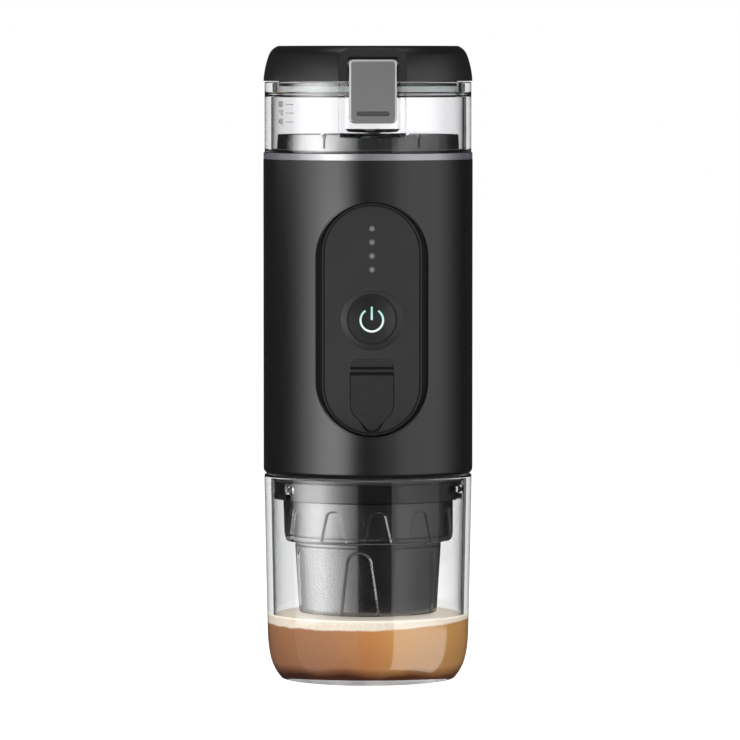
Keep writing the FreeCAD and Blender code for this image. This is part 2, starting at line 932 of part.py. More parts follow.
def cover_outline(grow, front, back, bottom_extra=0.0):
    """Outline of the port cover's flap, grown on all sides by a gap."""
    half = cover_width / 2 + grow
    top = flap_top + grow
    shoulder = flap_top - flap_straight
    tab_half = tab_width / 2 + grow
    tab_top = flap_top - tab_start
    end_half = tab_end_width / 2 + grow
    bottom = flap_top - flap_length - grow - bottom_extra
    return front_prism(
        (-half, top),
        (-half, shoulder),
        bow((-half, shoulder), (-tab_half, tab_top), tab_bend),
        (-end_half, bottom + end_half / 2),
        bow((-end_half, bottom + end_half / 2), (end_half, bottom + end_half / 2), end_half / 2),
        (tab_half, tab_top),
        bow((tab_half, tab_top), (half, shoulder), tab_bend),
        (half, top),
        front=front, back=back)


def board_corners():
    x = board_width / 2 - post_radius - close_gap
    rise = board_height / 2 - post_radius - close_gap
    return [(side * x, panel_height_middle + up * rise) for side in (-1, 1) for up in (-1, 1)]


def control_panel():
    block = stadium(panel_width, panel_height, panel_height_middle, panel_face, bezel_front)
    cavity = stadium(
        panel_width - 2 * panel_skirt, panel_height - 2 * panel_skirt, panel_height_middle,
        panel_back, bezel_front + 1)
    groove_bottom = panel_face + lip_groove_depth
    groove = stadium(
        panel_width - 2 * lip_width, panel_height - 2 * lip_width, panel_height_middle,
        panel_face - 1, groove_bottom)
    field_inset = lip_width + lip_groove
    field = stadium(
        panel_width - 2 * field_inset, panel_height - 2 * field_inset, panel_height_middle,
        panel_face - 2, groove_bottom + 1)
    half = cover_width / 2 + cover_gap
    cuts = [
        cavity,
        groove.cut(field),
        rod(button_hole, panel_face - 1, panel_back + 1, 0, panel_height_middle),
        Part.makeCone(
            button_hole + button_chamfer, button_hole, button_sink,
            Vector(0, panel_face, panel_height_middle), Vector(0, 1, 0)),
        cover_outline(cover_gap, panel_face - 1, flap_floor, nail_notch),
        box(-half, half, panel_face - 1, flap_floor, flap_top, strap_base),
        strap_outline(close_gap, panel_face - 1, flap_floor),
        port_window(panel_back - 1, panel_back + 1)]
    cuts += [rod(light_radius + close_gap, panel_face - 1, panel_back + 1, 0, z) for z in light_levels]
    cuts += [
        rod(strap_stem + close_gap, flap_floor - 1, panel_back + 1, side * strap_stem_reach, strap_middle)
        for side in (-1, 1)]
    return drilled(block, cuts)


def port_window(front, back):
    half = socket_width / 2 + port_hole_gap
    rise = socket_height / 2 + port_hole_gap
    return box(-half, half, front, back, port_level - rise, port_level + rise)


# Rubber cover of the charging port: a fixed strap and the flap that hinges below it on a bead

strap_middle = strap_base + strap_stem_rise
strap_stem_reach = cover_width / 4


def strap_outline(grow, front, back):
    half = cover_width / 2 + grow
    top = cover_level + grow
    left_side = (-half, top - cover_corner)
    left_top = (-half + cover_corner, top)
    right_top = (half - cover_corner, top)
    right_side = (half, top - cover_corner)
    return front_prism(
        (-half, strap_base),
        (half, strap_base),
        right_side,
        corner(right_side, right_top),
        left_top,
        corner(left_top, left_side),
        front=front, back=back)


def usb_cover_strap():
    half = cover_width / 2 + 1
    crease = strap_base + strap_crease_rise
    body = strap_outline(0, panel_face, flap_floor)
    body = body.cut(box(
        -half, half, panel_face - 1, panel_face + cover_thickness / 2,
        crease - hinge_groove / 2, crease + hinge_groove / 2))
    stems = []
    for side in (-1, 1):
        x = side * strap_stem_reach
        stems.append(rod(strap_stem, flap_floor - running_gap, panel_back + cover_thickness, x, strap_middle))
        stems.append(rod(
            1.5 * strap_stem, panel_back, panel_back + cover_thickness, x, strap_middle))
    return joined([body] + stems)


def usb_cover():
    flap = cover_outline(0, panel_face, panel_face + cover_thickness)
    plug_half = socket_width / 2 - socket_wall - cover_gap
    plug_rise = socket_height / 2 - socket_wall - cover_gap - running_gap
    plug = box(
        -plug_half, plug_half, panel_face + cover_thickness / 2, socket_front + plug_entry,
        port_level - plug_rise, port_level + plug_rise)
    half = cover_width / 2
    bead = crossbar(hinge_bead, -half, half, panel_face + hinge_bead, flap_hinge)
    web = box(
        -half, half, panel_face + hinge_bead / 2, panel_face + 1.5 * hinge_bead,
        flap_top - hinge_bead, flap_hinge)
    return joined([flap, plug, web, bead])


# Power button with its inlaid symbol

def dished_button(shift):
    rim = panel_face + button_sink + shift
    back = panel_back + close_gap + button_flange + shift
    dish_radius = button_edge - cutout_chamfer
    sphere = (dish_radius ** 2 + button_dish ** 2) / (2 * button_dish)
    hollow = Part.makeSphere(sphere, Vector(0, rim + button_dish - sphere, panel_height_middle))
    return joined([
        rod(button_edge, rim, back, 0, panel_height_middle),
        rod(button_hole + button_sink, back - button_flange, back, 0, panel_height_middle)]).cut(hollow)


def power_symbol():
    front = panel_face
    back = panel_back + button_flange
    inner = symbol_radius - symbol_stroke
    band = rod(symbol_radius, front, back, 0, panel_height_middle).cut(
        rod(inner, front - 1, back + 1, 0, panel_height_middle))
    reach = 2 * symbol_radius
    side = reach * math.tan(math.radians(symbol_gap_angle))
    gap = front_prism(
        (0, panel_height_middle),
        (side, panel_height_middle + reach),
        (-side, panel_height_middle + reach),
        front=front - 1, back=back + 1)
    bar_length = symbol_radius + symbol_stroke / 2
    bar = stadium(symbol_stroke, bar_length, panel_height_middle + bar_length / 2 - symbol_stroke / 4,
                  front, back)
    shape = Part.makeCompound([band.cut(gap), bar])
    return shape.common(dished_button(0)).cut(dished_button(symbol_depth))


def power_button():
    return dished_button(0).cut(power_symbol())


def switch_plunger():
    back = panel_back + close_gap + button_flange
    return rod(plunger_radius, back, switch_front + plunger_entry, 0, panel_height_middle)


# Electronics behind the panel

board_back = board_front + board_thickness
switch_front = board_front - switch_height
socket_front = panel_back - 3 * running_gap


def tact_switch():
    half = switch_side / 2
    body = box(-half, half, switch_front, board_front, panel_height_middle - half, panel_height_middle + half)
    well = rod(plunger_radius + running_gap, switch_front - 1,
               switch_front + plunger_entry + button_travel + running_gap, 0, panel_height_middle)
    return body.cut(well)


def led_light_pipes():
    return group(
        rod(light_radius, panel_face, board_front - light_chip - running_gap, 0, z) for z in light_levels)


def usb_socket():
    half = socket_width / 2
    rise = socket_height / 2
    tongue_front = socket_front + plug_entry + sliding_gap
    well_back = board_front - 3 * socket_wall
    shell = box(-half, half, socket_front, board_front, port_level - rise, port_level + rise)
    well = box(
        -half + socket_wall, half - socket_wall, socket_front - 1, well_back,
        port_level - rise + socket_wall, port_level + rise - socket_wall)
    tongue = box(
        -half * 0.7, half * 0.7, tongue_front, well_back,
        port_level - socket_wall, port_level + socket_wall)
    return joined([shell.cut(well), tongue])


def main_board():
    half = board_width / 2
    rise = board_height / 2
    board = box(-half, half, board_front, board_back, panel_height_middle - rise, panel_height_middle + rise)
    return drilled(board, [
        rod(screw_radius + close_gap, board_front - 1, board_back + 1, x, z) for x, z in board_corners()])


def board_components():
    """Lights on the front. Processor, connectors, power transistors and capacitors on the back."""
    column = board_width / 4
    row = board_height / 8
    low = panel_height_middle - 3 * row
    parts = [
        box(-light_chip, light_chip, board_front - light_chip, board_front, z - light_chip, z + light_chip)
        for z in light_levels]
    parts.append(board_chip(0, panel_height_middle + row, processor_side, processor_height))
    for x in (-column, column):
        parts.append(board_chip(x, panel_height_middle + 2 * row, connector_side, connector_height))
    for x in (0, column):
        parts.append(board_chip(x, low, transistor_side, transistor_height))
    for z in (low, low - 3 * capacitor_radius):
        parts.append(rod(capacitor_radius, board_back, board_back + capacitor_height, -column, z))
    return group(parts)


def board_chip(x, z, side, height):
    half = side / 2
    return box(x - half, x + half, board_back, board_back + height, z - half, z + half)


def board_screws():
    screws = []
    for x, z in board_corners():
        screws.append(joined([
            rod(screw_head_radius, board_back, board_back + screw_head_height, x, z),
            rod(screw_radius, bezel_front + bezel_floor / 2 + running_gap, board_back, x, z)]))
    return group(screws)


# Vibration pump on a rubber mount, with its axis set back from the centre towards the front

pump_y = -pump_setback
hose_bore = spigot_radius + close_gap
hose_radius = hose_bore + hose_wall
mount_top = bottom_deck_top + mount_height
core_base = mount_top + outlet_flange + outlet_sleeve_height - core_insert
core_bore = core_radius - core_wall
core_top = core_base + core_length
barb_top = core_top + barb_length
valve_floor = core_base - valve_depth
ball_level = core_base - math.sqrt(ball_radius ** 2 - seat_hole ** 2) - close_gap
coil_base = core_base + coil_above_seat
coil_top = coil_base + coil_height
piston_base = core_base + piston_rest
piston_top = piston_base + piston_length
cap_base = core_top - core_cap
outlet_tip = bottom_deck_base + spigot_length + running_gap * 5
outlet_hose_base = bottom_deck_base + sliding_gap


def pump_mount():
    return ring(mount_bore, mount_radius, bottom_deck_top, mount_top, 0, pump_y)


def outlet_hose():
    return ring(hose_bore, hose_radius, outlet_hose_base, mount_top, 0, pump_y)


def pump_outlet():
    sleeve_radius = core_radius + 2 * core_wall
    sleeve_end = core_base + core_insert
    body = joined([
        cylinder(mount_radius, mount_top, mount_top + outlet_flange, 0, pump_y),
        cylinder(sleeve_radius, mount_top, sleeve_end, 0, pump_y),
        cylinder(spigot_radius, outlet_tip, mount_top + running_gap, 0, pump_y)])
    return drilled(body, [
        cylinder(core_radius + close_gap, core_base, sleeve_end + 1, 0, pump_y),
        cylinder(valve_bore, valve_floor, core_base + 1, 0, pump_y),
        cylinder(spigot_bore, outlet_tip - 1, valve_floor + 1, 0, pump_y)])


def check_ball():
    return Part.makeSphere(ball_radius, Vector(0, pump_y, ball_level))


def check_spring():
    coil = ball_radius * 0.7
    contact = ball_level - math.sqrt(ball_radius ** 2 - coil ** 2) - running_gap
    return move(coil_spring(coil, spring_wire / 1.5, valve_floor, contact, spring_turns / 2), y=pump_y)


def pump_core_tube():
    tube = joined([
        cylinder(core_radius, core_base, core_top, 0, pump_y),
        cylinder(spigot_radius, cap_base, barb_top, 0, pump_y)])
    return drilled(tube, [
        cylinder(core_bore, core_base + seat_thickness, cap_base, 0, pump_y),
        cylinder(seat_hole, core_base - 1, core_base + seat_thickness + 1, 0, pump_y),
        cylinder(spigot_bore, cap_base - 1, barb_top + 1, 0, pump_y)])


def pump_coil():
    return ring(core_radius + close_gap, coil_radius, coil_base, coil_top, 0, pump_y)


def pump_yoke():
    strap_inside = coil_radius + running_gap * 5
    strap_outside = strap_inside + yoke_strap
    base = coil_base - yoke_plate
    top = coil_top + yoke_plate
    frame = box(-strap_outside, strap_outside, pump_y - mount_radius / 2, pump_y + mount_radius / 2, base, top)
    window = box(-strap_inside, strap_inside, pump_y - mount_radius, pump_y + mount_radius, coil_base, coil_top)
    plates = [
        cylinder(coil_radius, base, coil_base, 0, pump_y),
        cylinder(coil_radius, coil_top, top, 0, pump_y)]
    body = joined([frame.cut(window)] + plates)
    return body.cut(cylinder(core_radius + close_gap, base - 1, top + 1, 0, pump_y))


def pump_piston():
    return ring(seat_hole, core_bore - running_gap, piston_base, piston_top, 0, pump_y)


def piston_spring():
    coil = core_bore - spring_wire - 2 * running_gap
    return move(coil_spring(coil, spring_wire, piston_top, cap_base, spring_turns), y=pump_y)


def inlet_hose():
    return ring(hose_bore, hose_radius, core_top + running_gap * 5, inlet_hose_top, 0, pump_y)


# Battery pack at the back

def battery_tray():
    cells = [around(cell_circle, angle) for angle in cell_angles]
    top = bottom_deck_top + tray_floor + tray_lip
    body = joined([battery_shell(x, y, bottom_deck_top, top) for x, y in cells] +
                  [post_collar(bottom_deck_top, top)])
    bore = cell_radius + running_gap
    cuts = [cylinder(bore, strip_base, top + 1, x, y) for x, y in cells]
    cuts.append(strip_link(strip_base, strip_base + strip_thickness + running_gap))
    return drilled(body, cuts + post_holes(bottom_deck_top, top)).common(
        cylinder(deck_radius, bottom_deck_top, top))


def battery_shell(x, y, bottom, top):
    return cylinder(cell_radius + running_gap + tray_wall, bottom, top, x, y)


def back_posts():
    return [around(post_circle, angle) for angle in (back_post_angle, -back_post_angle)]


def post_collar(bottom, top):
    return joined([cylinder(post_radius + tray_wall, bottom, top, x, y) for x, y in back_posts()])


def post_holes(bottom, top):
    return [cylinder(post_radius + close_gap, bottom - 1, top + 1, x, y) for x, y in back_posts()]


def strip_link(bottom, top):
    """Flat band that passes under or over all three cells in a row."""
    inner = cell_circle - cell_radius / 3
    outer = cell_circle + cell_radius / 3
    return sector(inner, outer, bottom, top, 180, 2 * (cell_step + strip_end_angle))


strip_base = bottom_deck_top + tray_floor
cell_base = strip_base + strip_thickness
cell_top = cell_base + cell_length
clamp_seat = cell_top + strip_thickness


def battery_cells():
    cells = []
    for angle in cell_angles:
        x, y = around(cell_circle, angle)
        can = cylinder(cell_radius, cell_base, cell_top, x, y)
        neck = cell_top - cell_neck
        groove = ring(cell_radius - 3 * running_gap, cell_radius + 1, neck - cell_neck_height, neck, x, y)
        cells.append(can.cut(groove))
    return group(cells)


def nickel_strips():
    return group([
        strip_link(strip_base, cell_base),
        strip_link(cell_top, clamp_seat)])


def battery_clamp():
    cells = [around(cell_circle, angle) for angle in cell_angles]
    top = clamp_seat + clamp_top
    bottom = top - clamp_height
    body = joined([battery_shell(x, y, bottom, top) for x, y in cells] + [post_collar(bottom, top)])
    bore = cell_radius + running_gap
    cuts = [cylinder(bore, bottom - 1, cell_top, x, y) for x, y in cells]
    cuts.append(strip_link(cell_top - running_gap, clamp_seat))
    cuts += [cylinder(lead_radius + sliding_gap, cell_top, top + 1, side * battery_lead_x, battery_lead_y)
             for side in (-1, 1)]
    return drilled(body, cuts + post_holes(bottom, top)).common(cylinder(deck_radius, bottom, top))


# Insulated leads from the board to the cells, the coil, the heater and its sensor

battery_lead_x, battery_lead_y = around(cell_circle, cell_angles[0])
battery_lead_level = clamp_seat + pack_lead_rise
heater_lead_y = board_back + heater_lead_setback
heater_lead_level = panel_height_middle + board_height / 2 - heater_lead_drop


def lead(points):
    """Round lead. Its straight runs are joined by tangent arcs."""
    edges = []
    corners = [Vector(*point) for point in points]
    here = corners[0]
    for before, at, after in zip(corners, corners[1:], corners[2:]):
        back = before - at
        ahead = after - at
        setback = 0.45 * min(back.Length, ahead.Length)
        half_turn = (math.pi - back.getAngle(ahead)) / 2
        bend = setback / math.tan(half_turn)
        back.normalize()
        ahead.normalize()
        inward = back + ahead
        inward.normalize()
        arc_start = at + back * setback
        arc_end = at + ahead * setback
        middle = at + inward * (bend / math.cos(half_turn) - bend)
        edges.append(Part.LineSegment(here, arc_start).toShape())
        edges.append(Part.Arc(arc_start, middle, arc_end).toShape())
        here = arc_end
    edges.append(Part.LineSegment(here, corners[-1]).toShape())
    first_run = corners[1] - corners[0]
    section = Part.Wire(Part.makeCircle(lead_radius, corners[0], first_run))
    return Part.Wire(edges).makePipeShell([section], True, False)


def wire_leads():
    coil_front = pump_y - math.sqrt(coil_radius ** 2 - (coil_lead_x - lead_radius) ** 2)
    coil_middle = (coil_base + coil_top) / 2
    film_base = film_top - film_thickness
    leads = []
    for side in (-1, 1):
        x = side * battery_lead_x
        leads.append(lead([
            (x, battery_lead_y, clamp_seat),
            (x, battery_lead_y, battery_lead_level - lead_radius * 3),
            (side * pack_lead_x, pump_y, battery_lead_level),
            (side * pack_lead_x, board_back, battery_lead_level)]))
        leads.append(rod(lead_radius, board_back, coil_front - close_gap, side * coil_lead_x, coil_middle))
    for x, end in ((heater_lead_x, film_base), (-heater_lead_x, film_base - sensor_height)):
        leads.append(lead([
            (x, board_back, heater_lead_level),
            (x, heater_lead_y, heater_lead_level),
            (x, heater_lead_y, end)]))
    return group(leads)


# Water tank, heater and guard ring

tank_bore = tank_outer_radius - tank_wall
tank_floor = sleeve_top + tank_flange_height
guard_radius = tank_bore - guard_inset
guard_bore = guard_radius - guard_wall
tank_hole_radius = guard_bore - heater_seat_width
heater_screw_circle = guard_bore - screw_head_radius - 2 * running_gap
heater_dish = tank_hole_radius - 2 * sliding_gap
film_radius = heater_dish - heater_wall - 2 * sliding_gap
rim_bore = tank_bore - tank_rim_extra
tank_screw_tip = tank_floor - tank_flange_height / 2
heater_seat = tank_floor + gasket_sheet
heater_flange_top = heater_seat + heater_flange
film_top = heater_flange_top - heater_drop
inlet_hose_top = top_deck_top + tank_flange_height / 2
hinge_level = lid_bottom
hinge_axis_reach = tank_outer_radius + hinge_reach
heater_screw_tip = tank_floor - tank_flange_height / 2


def plan_prism(points, bottom, top):
    """Upright prism from (x, y) points."""
    wire = Part.makePolygon([Vector(x, y, bottom) for x, y in points + points[:1]])
    return Part.Face(wire).extrude(Vector(0, 0, top - bottom))


def pad(width, front, back, bevel, bottom, top):
    half = width / 2
    return plan_prism([
        (-half, back), (-half, front + bevel), (bevel - half, front), (half - bevel, front),
        (half, front + bevel), (half, back)], bottom, top)


def hinge_ears():
    inner = hinge_knuckle / 2 + sliding_gap
    outer = inner + hinge_ear
    ears = []
    for start in (inner, -outer):
        barrel = crossbar(hinge_barrel_radius, start, start + hinge_ear, hinge_axis_reach, hinge_level)
        web = side_prism(
            (tank_outer_radius - 1, tank_top),
            (tank_outer_radius - 1, tank_top - 3.5 * hinge_barrel_radius),
            (tank_outer_radius, tank_top - 3.5 * hinge_barrel_radius),
            (hinge_axis_reach + hinge_barrel_radius * 0.8, tank_top - hinge_barrel_radius * 0.5),
            (hinge_axis_reach, tank_top),
            half_width=hinge_ear / 2)
        ears.append(barrel.fuse(move(web, x=start + hinge_ear / 2)))
    return ears


def water_tank():
    rim_base = tank_top - tank_rim_height
    shell = turned(
        (tank_hole_radius, sleeve_top),
        (tank_flange_radius, sleeve_top),
        (tank_flange_radius, tank_floor),
        (tank_outer_radius, tank_floor),
        (tank_outer_radius, tank_top),
        (rim_bore, tank_top),
        (rim_bore, rim_base),
        (tank_bore, rim_base - tank_rim_extra),
        (tank_bore, tank_floor),
        (tank_hole_radius, tank_floor))
    pad_back = -tank_bore - (tank_outer_radius - tank_bore) / 4
    front_pad = pad(pad_width, -tank_outer_radius - pad_reach, pad_back, pad_bevel,
                    tank_top - pad_height, tank_top)
    inner_pad = pad(inner_pad_width, -tank_outer_radius - inner_pad_reach, pad_back, inner_pad_bevel,
                    tank_top - inner_pad_height, tank_top)
    bosses = []
    cuts = []
    for angle in tank_screw_angles:
        x, y = around(tank_screw_circle, angle)
        bosses.append(cylinder(tank_boss_radius, top_deck_top, sleeve_top + running_gap, x, y))
        cuts.append(screw_hole(x, y, top_deck_top - 1, tank_screw_tip))
    for x, y in heater_screw_places():
        cuts.append(screw_hole(x, y, heater_screw_tip, tank_floor + 1))
    cuts.append(crossbar(hinge_pin_radius, -hinge_axis_reach, hinge_axis_reach,
                         hinge_axis_reach, hinge_level))
    return drilled(joined([shell, front_pad, inner_pad] + bosses + hinge_ears()), cuts)


def heater_screw_places():
    return [around(heater_screw_circle, step * 360 / guard_tab_count) for step in range(guard_tab_count)]


def tank_gasket():
    body = ring(tank_hole_radius + sliding_gap, guard_bore - 2 * sliding_gap, tank_floor, heater_seat)
    return drilled(body, [
        screw_hole(x, y, tank_floor - 1, heater_seat + 1) for x, y in heater_screw_places()])


def heater_plate():
    dish_floor = film_top + heater_wall
    body = turned(
        (0, film_top),
        (heater_dish, film_top),
        (heater_dish, heater_seat),
        (guard_bore - running_gap, heater_seat),
        (guard_bore - running_gap, heater_flange_top),
        (heater_dish - heater_wall, heater_flange_top),
        (heater_dish - heater_wall, dish_floor),
        (0, dish_floor))
    spigot = cylinder(spigot_radius, film_top - inlet_spigot_length, film_top + running_gap, 0, pump_y)
    cuts = [cylinder(spigot_bore, film_top - inlet_spigot_length - 1, dish_floor + 1, 0, pump_y)]
    cuts += [screw_hole(x, y, heater_seat - 1, heater_flange_top + 1) for x, y in heater_screw_places()]
    return drilled(joined([body, spigot]), cuts)


def film_heater():
    return cylinder(film_radius, film_top - film_thickness, film_top).cut(
        cylinder(hose_radius + sliding_gap + pump_setback, film_top - 2, film_top + 1))


def temp_sensor():
    half = sensor_height
    film_base = film_top - film_thickness
    return box(-heater_lead_x - half, -heater_lead_x + half, heater_lead_y - half, heater_lead_y + half,
               film_base - sensor_height, film_base)


def inlet_screen():
    bottom = film_top + heater_wall
    radius = hose_radius + sliding_gap
    shell = cylinder(radius, bottom, bottom + heater_drop, 0, pump_y).cut(
        cylinder(radius - basket_wall, bottom - 1, bottom + heater_drop - basket_wall, 0, pump_y))
    holes = holes_in_rows(radius / 2, 1, basket_hole, bottom, bottom + heater_drop + 1)
    return drilled(shell, [move(hole, y=pump_y) for hole in holes])


def guard_ring():
    top = tank_floor + guard_height
    foot = guard_radius + sliding_gap
    skirt = turned(
        (guard_bore, tank_floor),
        (foot + guard_flange - sliding_gap, tank_floor),
        (foot + guard_flange - sliding_gap, tank_floor + guard_wall / 2),
        (foot, tank_floor + guard_wall / 2),
        (guard_radius, top),
        (guard_bore, top))
    tabs = []
    holes = []
    for step, (x, y) in enumerate(heater_screw_places()):
        tabs.append(sector(
            tank_hole_radius, guard_bore + sliding_gap, heater_flange_top,
            heater_flange_top + guard_wall, step * 360 / guard_tab_count, guard_tab_angle))
        holes.append(screw_hole(x, y, heater_flange_top - 1, heater_flange_top + guard_wall + 1))
    slots = []
    half = guard_slot / 2
    slot_base = tank_floor + guard_slot_base
    for step in range(guard_slot_count):
        slot = front_prism(
            (-half, slot_base),
            (half, slot_base),
            (half, top - guard_wall),
            (half + guard_wall, top + 1),
            (-half - guard_wall, top + 1),
            (-half, top - guard_wall),
            front=-foot - 2 * guard_wall, back=-guard_bore + 2 * guard_wall)
        slots.append(turn(slot, (step + 0.5) * 360 / guard_slot_count))
    return drilled(joined([skirt] + tabs), holes + slots)


def heater_screws():
    return group(
        screw(x, y, heater_flange_top + guard_wall, heater_screw_tip + running_gap)
        for x, y in heater_screw_places())


# Lid with its liner, seal, hinge and latch

lid_top_radius = lid_edge_radius - lid_crown_inset
liner_radius = rim_bore - liner_gap
lid_seal_bore = liner_radius - lid_seal_groove
lid_seal_base = lid_bottom - lid_seal_drop
boss_top = lid_top - boss_drop
boss_opening = latch_width + 2 * latch_side_gap
boss_width = boss_opening + 2 * boss_cheek
latch_inner_face = -tank_outer_radius - inner_pad_reach - sliding_gap - latch_nib
latch_pin_reach = -latch_inner_face - latch_pin_setback
latch_pin_level = boss_top - latch_pin_drop
latch_pin_half = boss_width / 2 - latch_barrel_radius / 2


def lid_hollow():
    """Space inside the lid shell, with a step that seats the liner's flange."""
    step = lid_bottom + liner_flange + running_gap
    side = (lid_edge_radius - lid_wall - 3 * sliding_gap, step)
    shoulder = (lid_edge_radius - 2 * lid_wall, lid_top - 2 * lid_wall)
    ceiling = (lid_top_radius - lid_wall / 2, lid_top - lid_wall)
    return turned(
        (0, lid_bottom),
        (lid_edge_radius - lid_wall - running_gap, lid_bottom),
        (lid_edge_radius - lid_wall - running_gap, step),
        side,
        shoulder,
        bow(shoulder, ceiling, lid_wall / 5),
        (0, lid_top - lid_wall))


def latch_boss():
    half = boss_width / 2
    front = -body_radius - boss_reach
    sides = ((half, boss_top - boss_corner), (half - boss_corner, boss_top),
             (-half + boss_corner, boss_top), (-half, boss_top - boss_corner))
    return front_prism(
        (-half, lid_bottom),
        (half, lid_bottom),
        sides[0],
        corner(sides[0], sides[1]),
        sides[2],
        corner(sides[2], sides[3]),
        front=front, back=-lid_top_radius)


def latch_opening():
    half = boss_opening / 2
    top = latch_pin_level + latch_sweep_room
    sides = ((half, top - boss_opening_corner), (half - boss_opening_corner, top),
             (-half + boss_opening_corner, top), (-half, top - boss_opening_corner))
    return front_prism(
        (-half, lid_bottom - 1),
        (half, lid_bottom - 1),
        sides[0],
        corner(sides[0], sides[1]),
        sides[2],
        corner(sides[2], sides[3]),
        front=-body_radius - boss_reach - 1, back=-latch_pin_reach + latch_barrel_radius + sliding_gap)


def lid_knuckle():
    half = hinge_knuckle / 2
    barrel = crossbar(hinge_barrel_radius, -half, half, hinge_axis_reach, hinge_level)
    web_top = lid_bottom + 2.5 * hinge_barrel_radius
    web = side_prism(
        (lid_edge_radius - lid_wall, lid_bottom + sliding_gap),
        (hinge_axis_reach, lid_bottom + sliding_gap),
        (hinge_axis_reach + hinge_barrel_radius * 0.8, lid_bottom + hinge_barrel_radius * 0.6),
        (lid_edge_radius - lid_wall / 2, web_top),
        (lid_edge_radius - lid_wall, web_top),
        half_width=half)
    return barrel.fuse(web)


def lid_shell():
    edge = (lid_edge_radius, lid_bottom)
    shoulder = (lid_edge_radius - lid_side_lean, lid_top - lid_shoulder_drop)
    crown = (lid_top_radius, lid_top)
    dome = turned((0, lid_bottom), edge, bow(edge, shoulder, 0.35), bow(shoulder, crown, 0.6), (0, lid_top))
    body = joined([dome, latch_boss(), lid_knuckle()])
    cuts = [
        lid_hollow(),
        latch_opening(),
        crossbar(hinge_pin_radius + pin_gap, -hinge_knuckle, hinge_knuckle, hinge_axis_reach, hinge_level),
        crossbar(latch_pin_radius, -latch_pin_half, latch_pin_half, -latch_pin_reach, latch_pin_level)]
    return drilled(body, cuts)


def lid_liner():
    base = lid_bottom - liner_depth
    bore = liner_radius - liner_wall
    flange = lid_edge_radius - lid_wall - 3 * running_gap
    body = turned(
        (0, base),
        (liner_radius, base),
        (liner_radius, lid_bottom),
        (flange, lid_bottom),
        (flange, lid_bottom + liner_flange),
        (bore, lid_bottom + liner_flange),
        (bore, base + liner_wall),
        (0, base + liner_wall))
    groove = ring(lid_seal_bore, liner_radius + 1, lid_seal_base - close_gap,
                  lid_seal_base + lid_seal_height + close_gap)
    return drilled(body, [groove, cylinder(vent_stem + close_gap, base - 1, base + liner_wall + 1)])


def lid_seal():
    return ring(lid_seal_bore, rim_bore - sliding_gap, lid_seal_base, lid_seal_base + lid_seal_height)


def vent_valve():
    base = lid_bottom - liner_depth
    inside = base + liner_wall
    return joined([
        cylinder(vent_stem, base - vent_cap, inside + vent_cap),
        cone(vent_stem, 2 * vent_stem, base - vent_cap, base),
        cylinder(1.6 * vent_stem, inside, inside + vent_cap)])


def hinge_pin():
    half = hinge_knuckle / 2 + sliding_gap + hinge_ear
    return crossbar(hinge_pin_radius, -half, half, hinge_axis_reach, hinge_level)


def latch_pin():
    return crossbar(latch_pin_radius, -latch_pin_half, latch_pin_half, -latch_pin_reach, latch_pin_level)


def latch_clip():
    top = latch_pin_level + latch_top_above_pin
    bottom = top - latch_length
    front = latch_inner_face - latch_thickness
    front_top = (front, top - latch_top_round)
    top_front = (front + latch_top_round, top)
    plate = side_prism(
        (latch_inner_face, bottom),
        (front, bottom),
        front_top,
        bow(front_top, top_front, -latch_top_round * (1 - math.cos(math.radians(45)))),
        (-latch_pin_reach, top),
        (-latch_pin_reach, latch_pin_level - latch_barrel_radius),
        (latch_inner_face, latch_pin_level - latch_barrel_radius),
        half_width=latch_width / 2)
    barrel = crossbar(latch_barrel_radius, -latch_width / 2, latch_width / 2, -latch_pin_reach, latch_pin_level)
    nib = box(-latch_slot / 2, latch_slot / 2, latch_inner_face - close_gap,
              latch_inner_face + latch_nib, bottom + latch_slot_rise / 2, bottom + latch_slot_rise)
    half = latch_width / 2
    low = latch_bottom_corner
    high = latch_top_corner
    points = ((-half + low, bottom), (half - low, bottom), (half, bottom + low), (half, top - high),
              (half - high, top), (-half + high, top), (-half, top - high), (-half, bottom + low))
    face = front_prism(
        points[0],
        points[1],
        corner(points[1], points[2]),
        points[3],
        corner(points[3], points[4]),
        points[5],
        corner(points[5], points[6]),
        points[7],
        corner(points[7], points[0]),
        front=front - 1, back=-latch_pin_reach + 2 * latch_barrel_radius)
    slot = stadium_bar(latch_slot, latch_slot_height, bottom + latch_slot_rise, front - 1,
                       front + latch_thickness / 2)
    body = joined([plate, barrel, nib]).common(face)
    return drilled(body, [slot, crossbar(
        latch_pin_radius + pin_gap, -latch_width, latch_width, -latch_pin_reach, latch_pin_level)])


def stadium_bar(width, height, middle, front, back):
    """Level slot shape with round ends, as a prism along Y."""
    radius = height / 2
    half = width / 2 - radius
    return front_prism(
        (-half, middle - radius),
        (half, middle - radius),
        ((half + radius, middle), (half, middle + radius)),
        (-half, middle + radius),
        ((-half - radius, middle), (-half, middle - radius)),
        front=front, back=back)


pieces = (
    drinking_cup, cup_seal, cup_collar, brew_head, shower_plate, shower_screw, bottom_deck, deck_screws,
    frame_posts, outer_sleeve, panel_bezel, control_panel, led_light_pipes, usb_cover_strap, main_board,
    board_components, board_screws, tact_switch, usb_socket, battery_tray, battery_cells,
    nickel_strips, battery_clamp, pump_mount, pump_outlet, outlet_hose, check_ball, check_spring,
    pump_core_tube, pump_coil, pump_yoke, piston_spring, inlet_hose, wire_leads, top_deck, water_tank,
    tank_gasket, heater_plate, film_heater, temp_sensor, inlet_screen, guard_ring, heater_screws,
    hinge_pin, pump_piston, power_button, power_symbol, switch_plunger, usb_cover, brew_gasket,
    portafilter_ring, filter_basket, spout_cone, spout_insert, lid_shell, lid_liner, lid_seal,
    vent_valve, latch_pin, latch_clip)

os.makedirs("parts", exist_ok=True)
for piece in pieces:
    save(piece.__name__, piece())
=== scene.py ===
import math

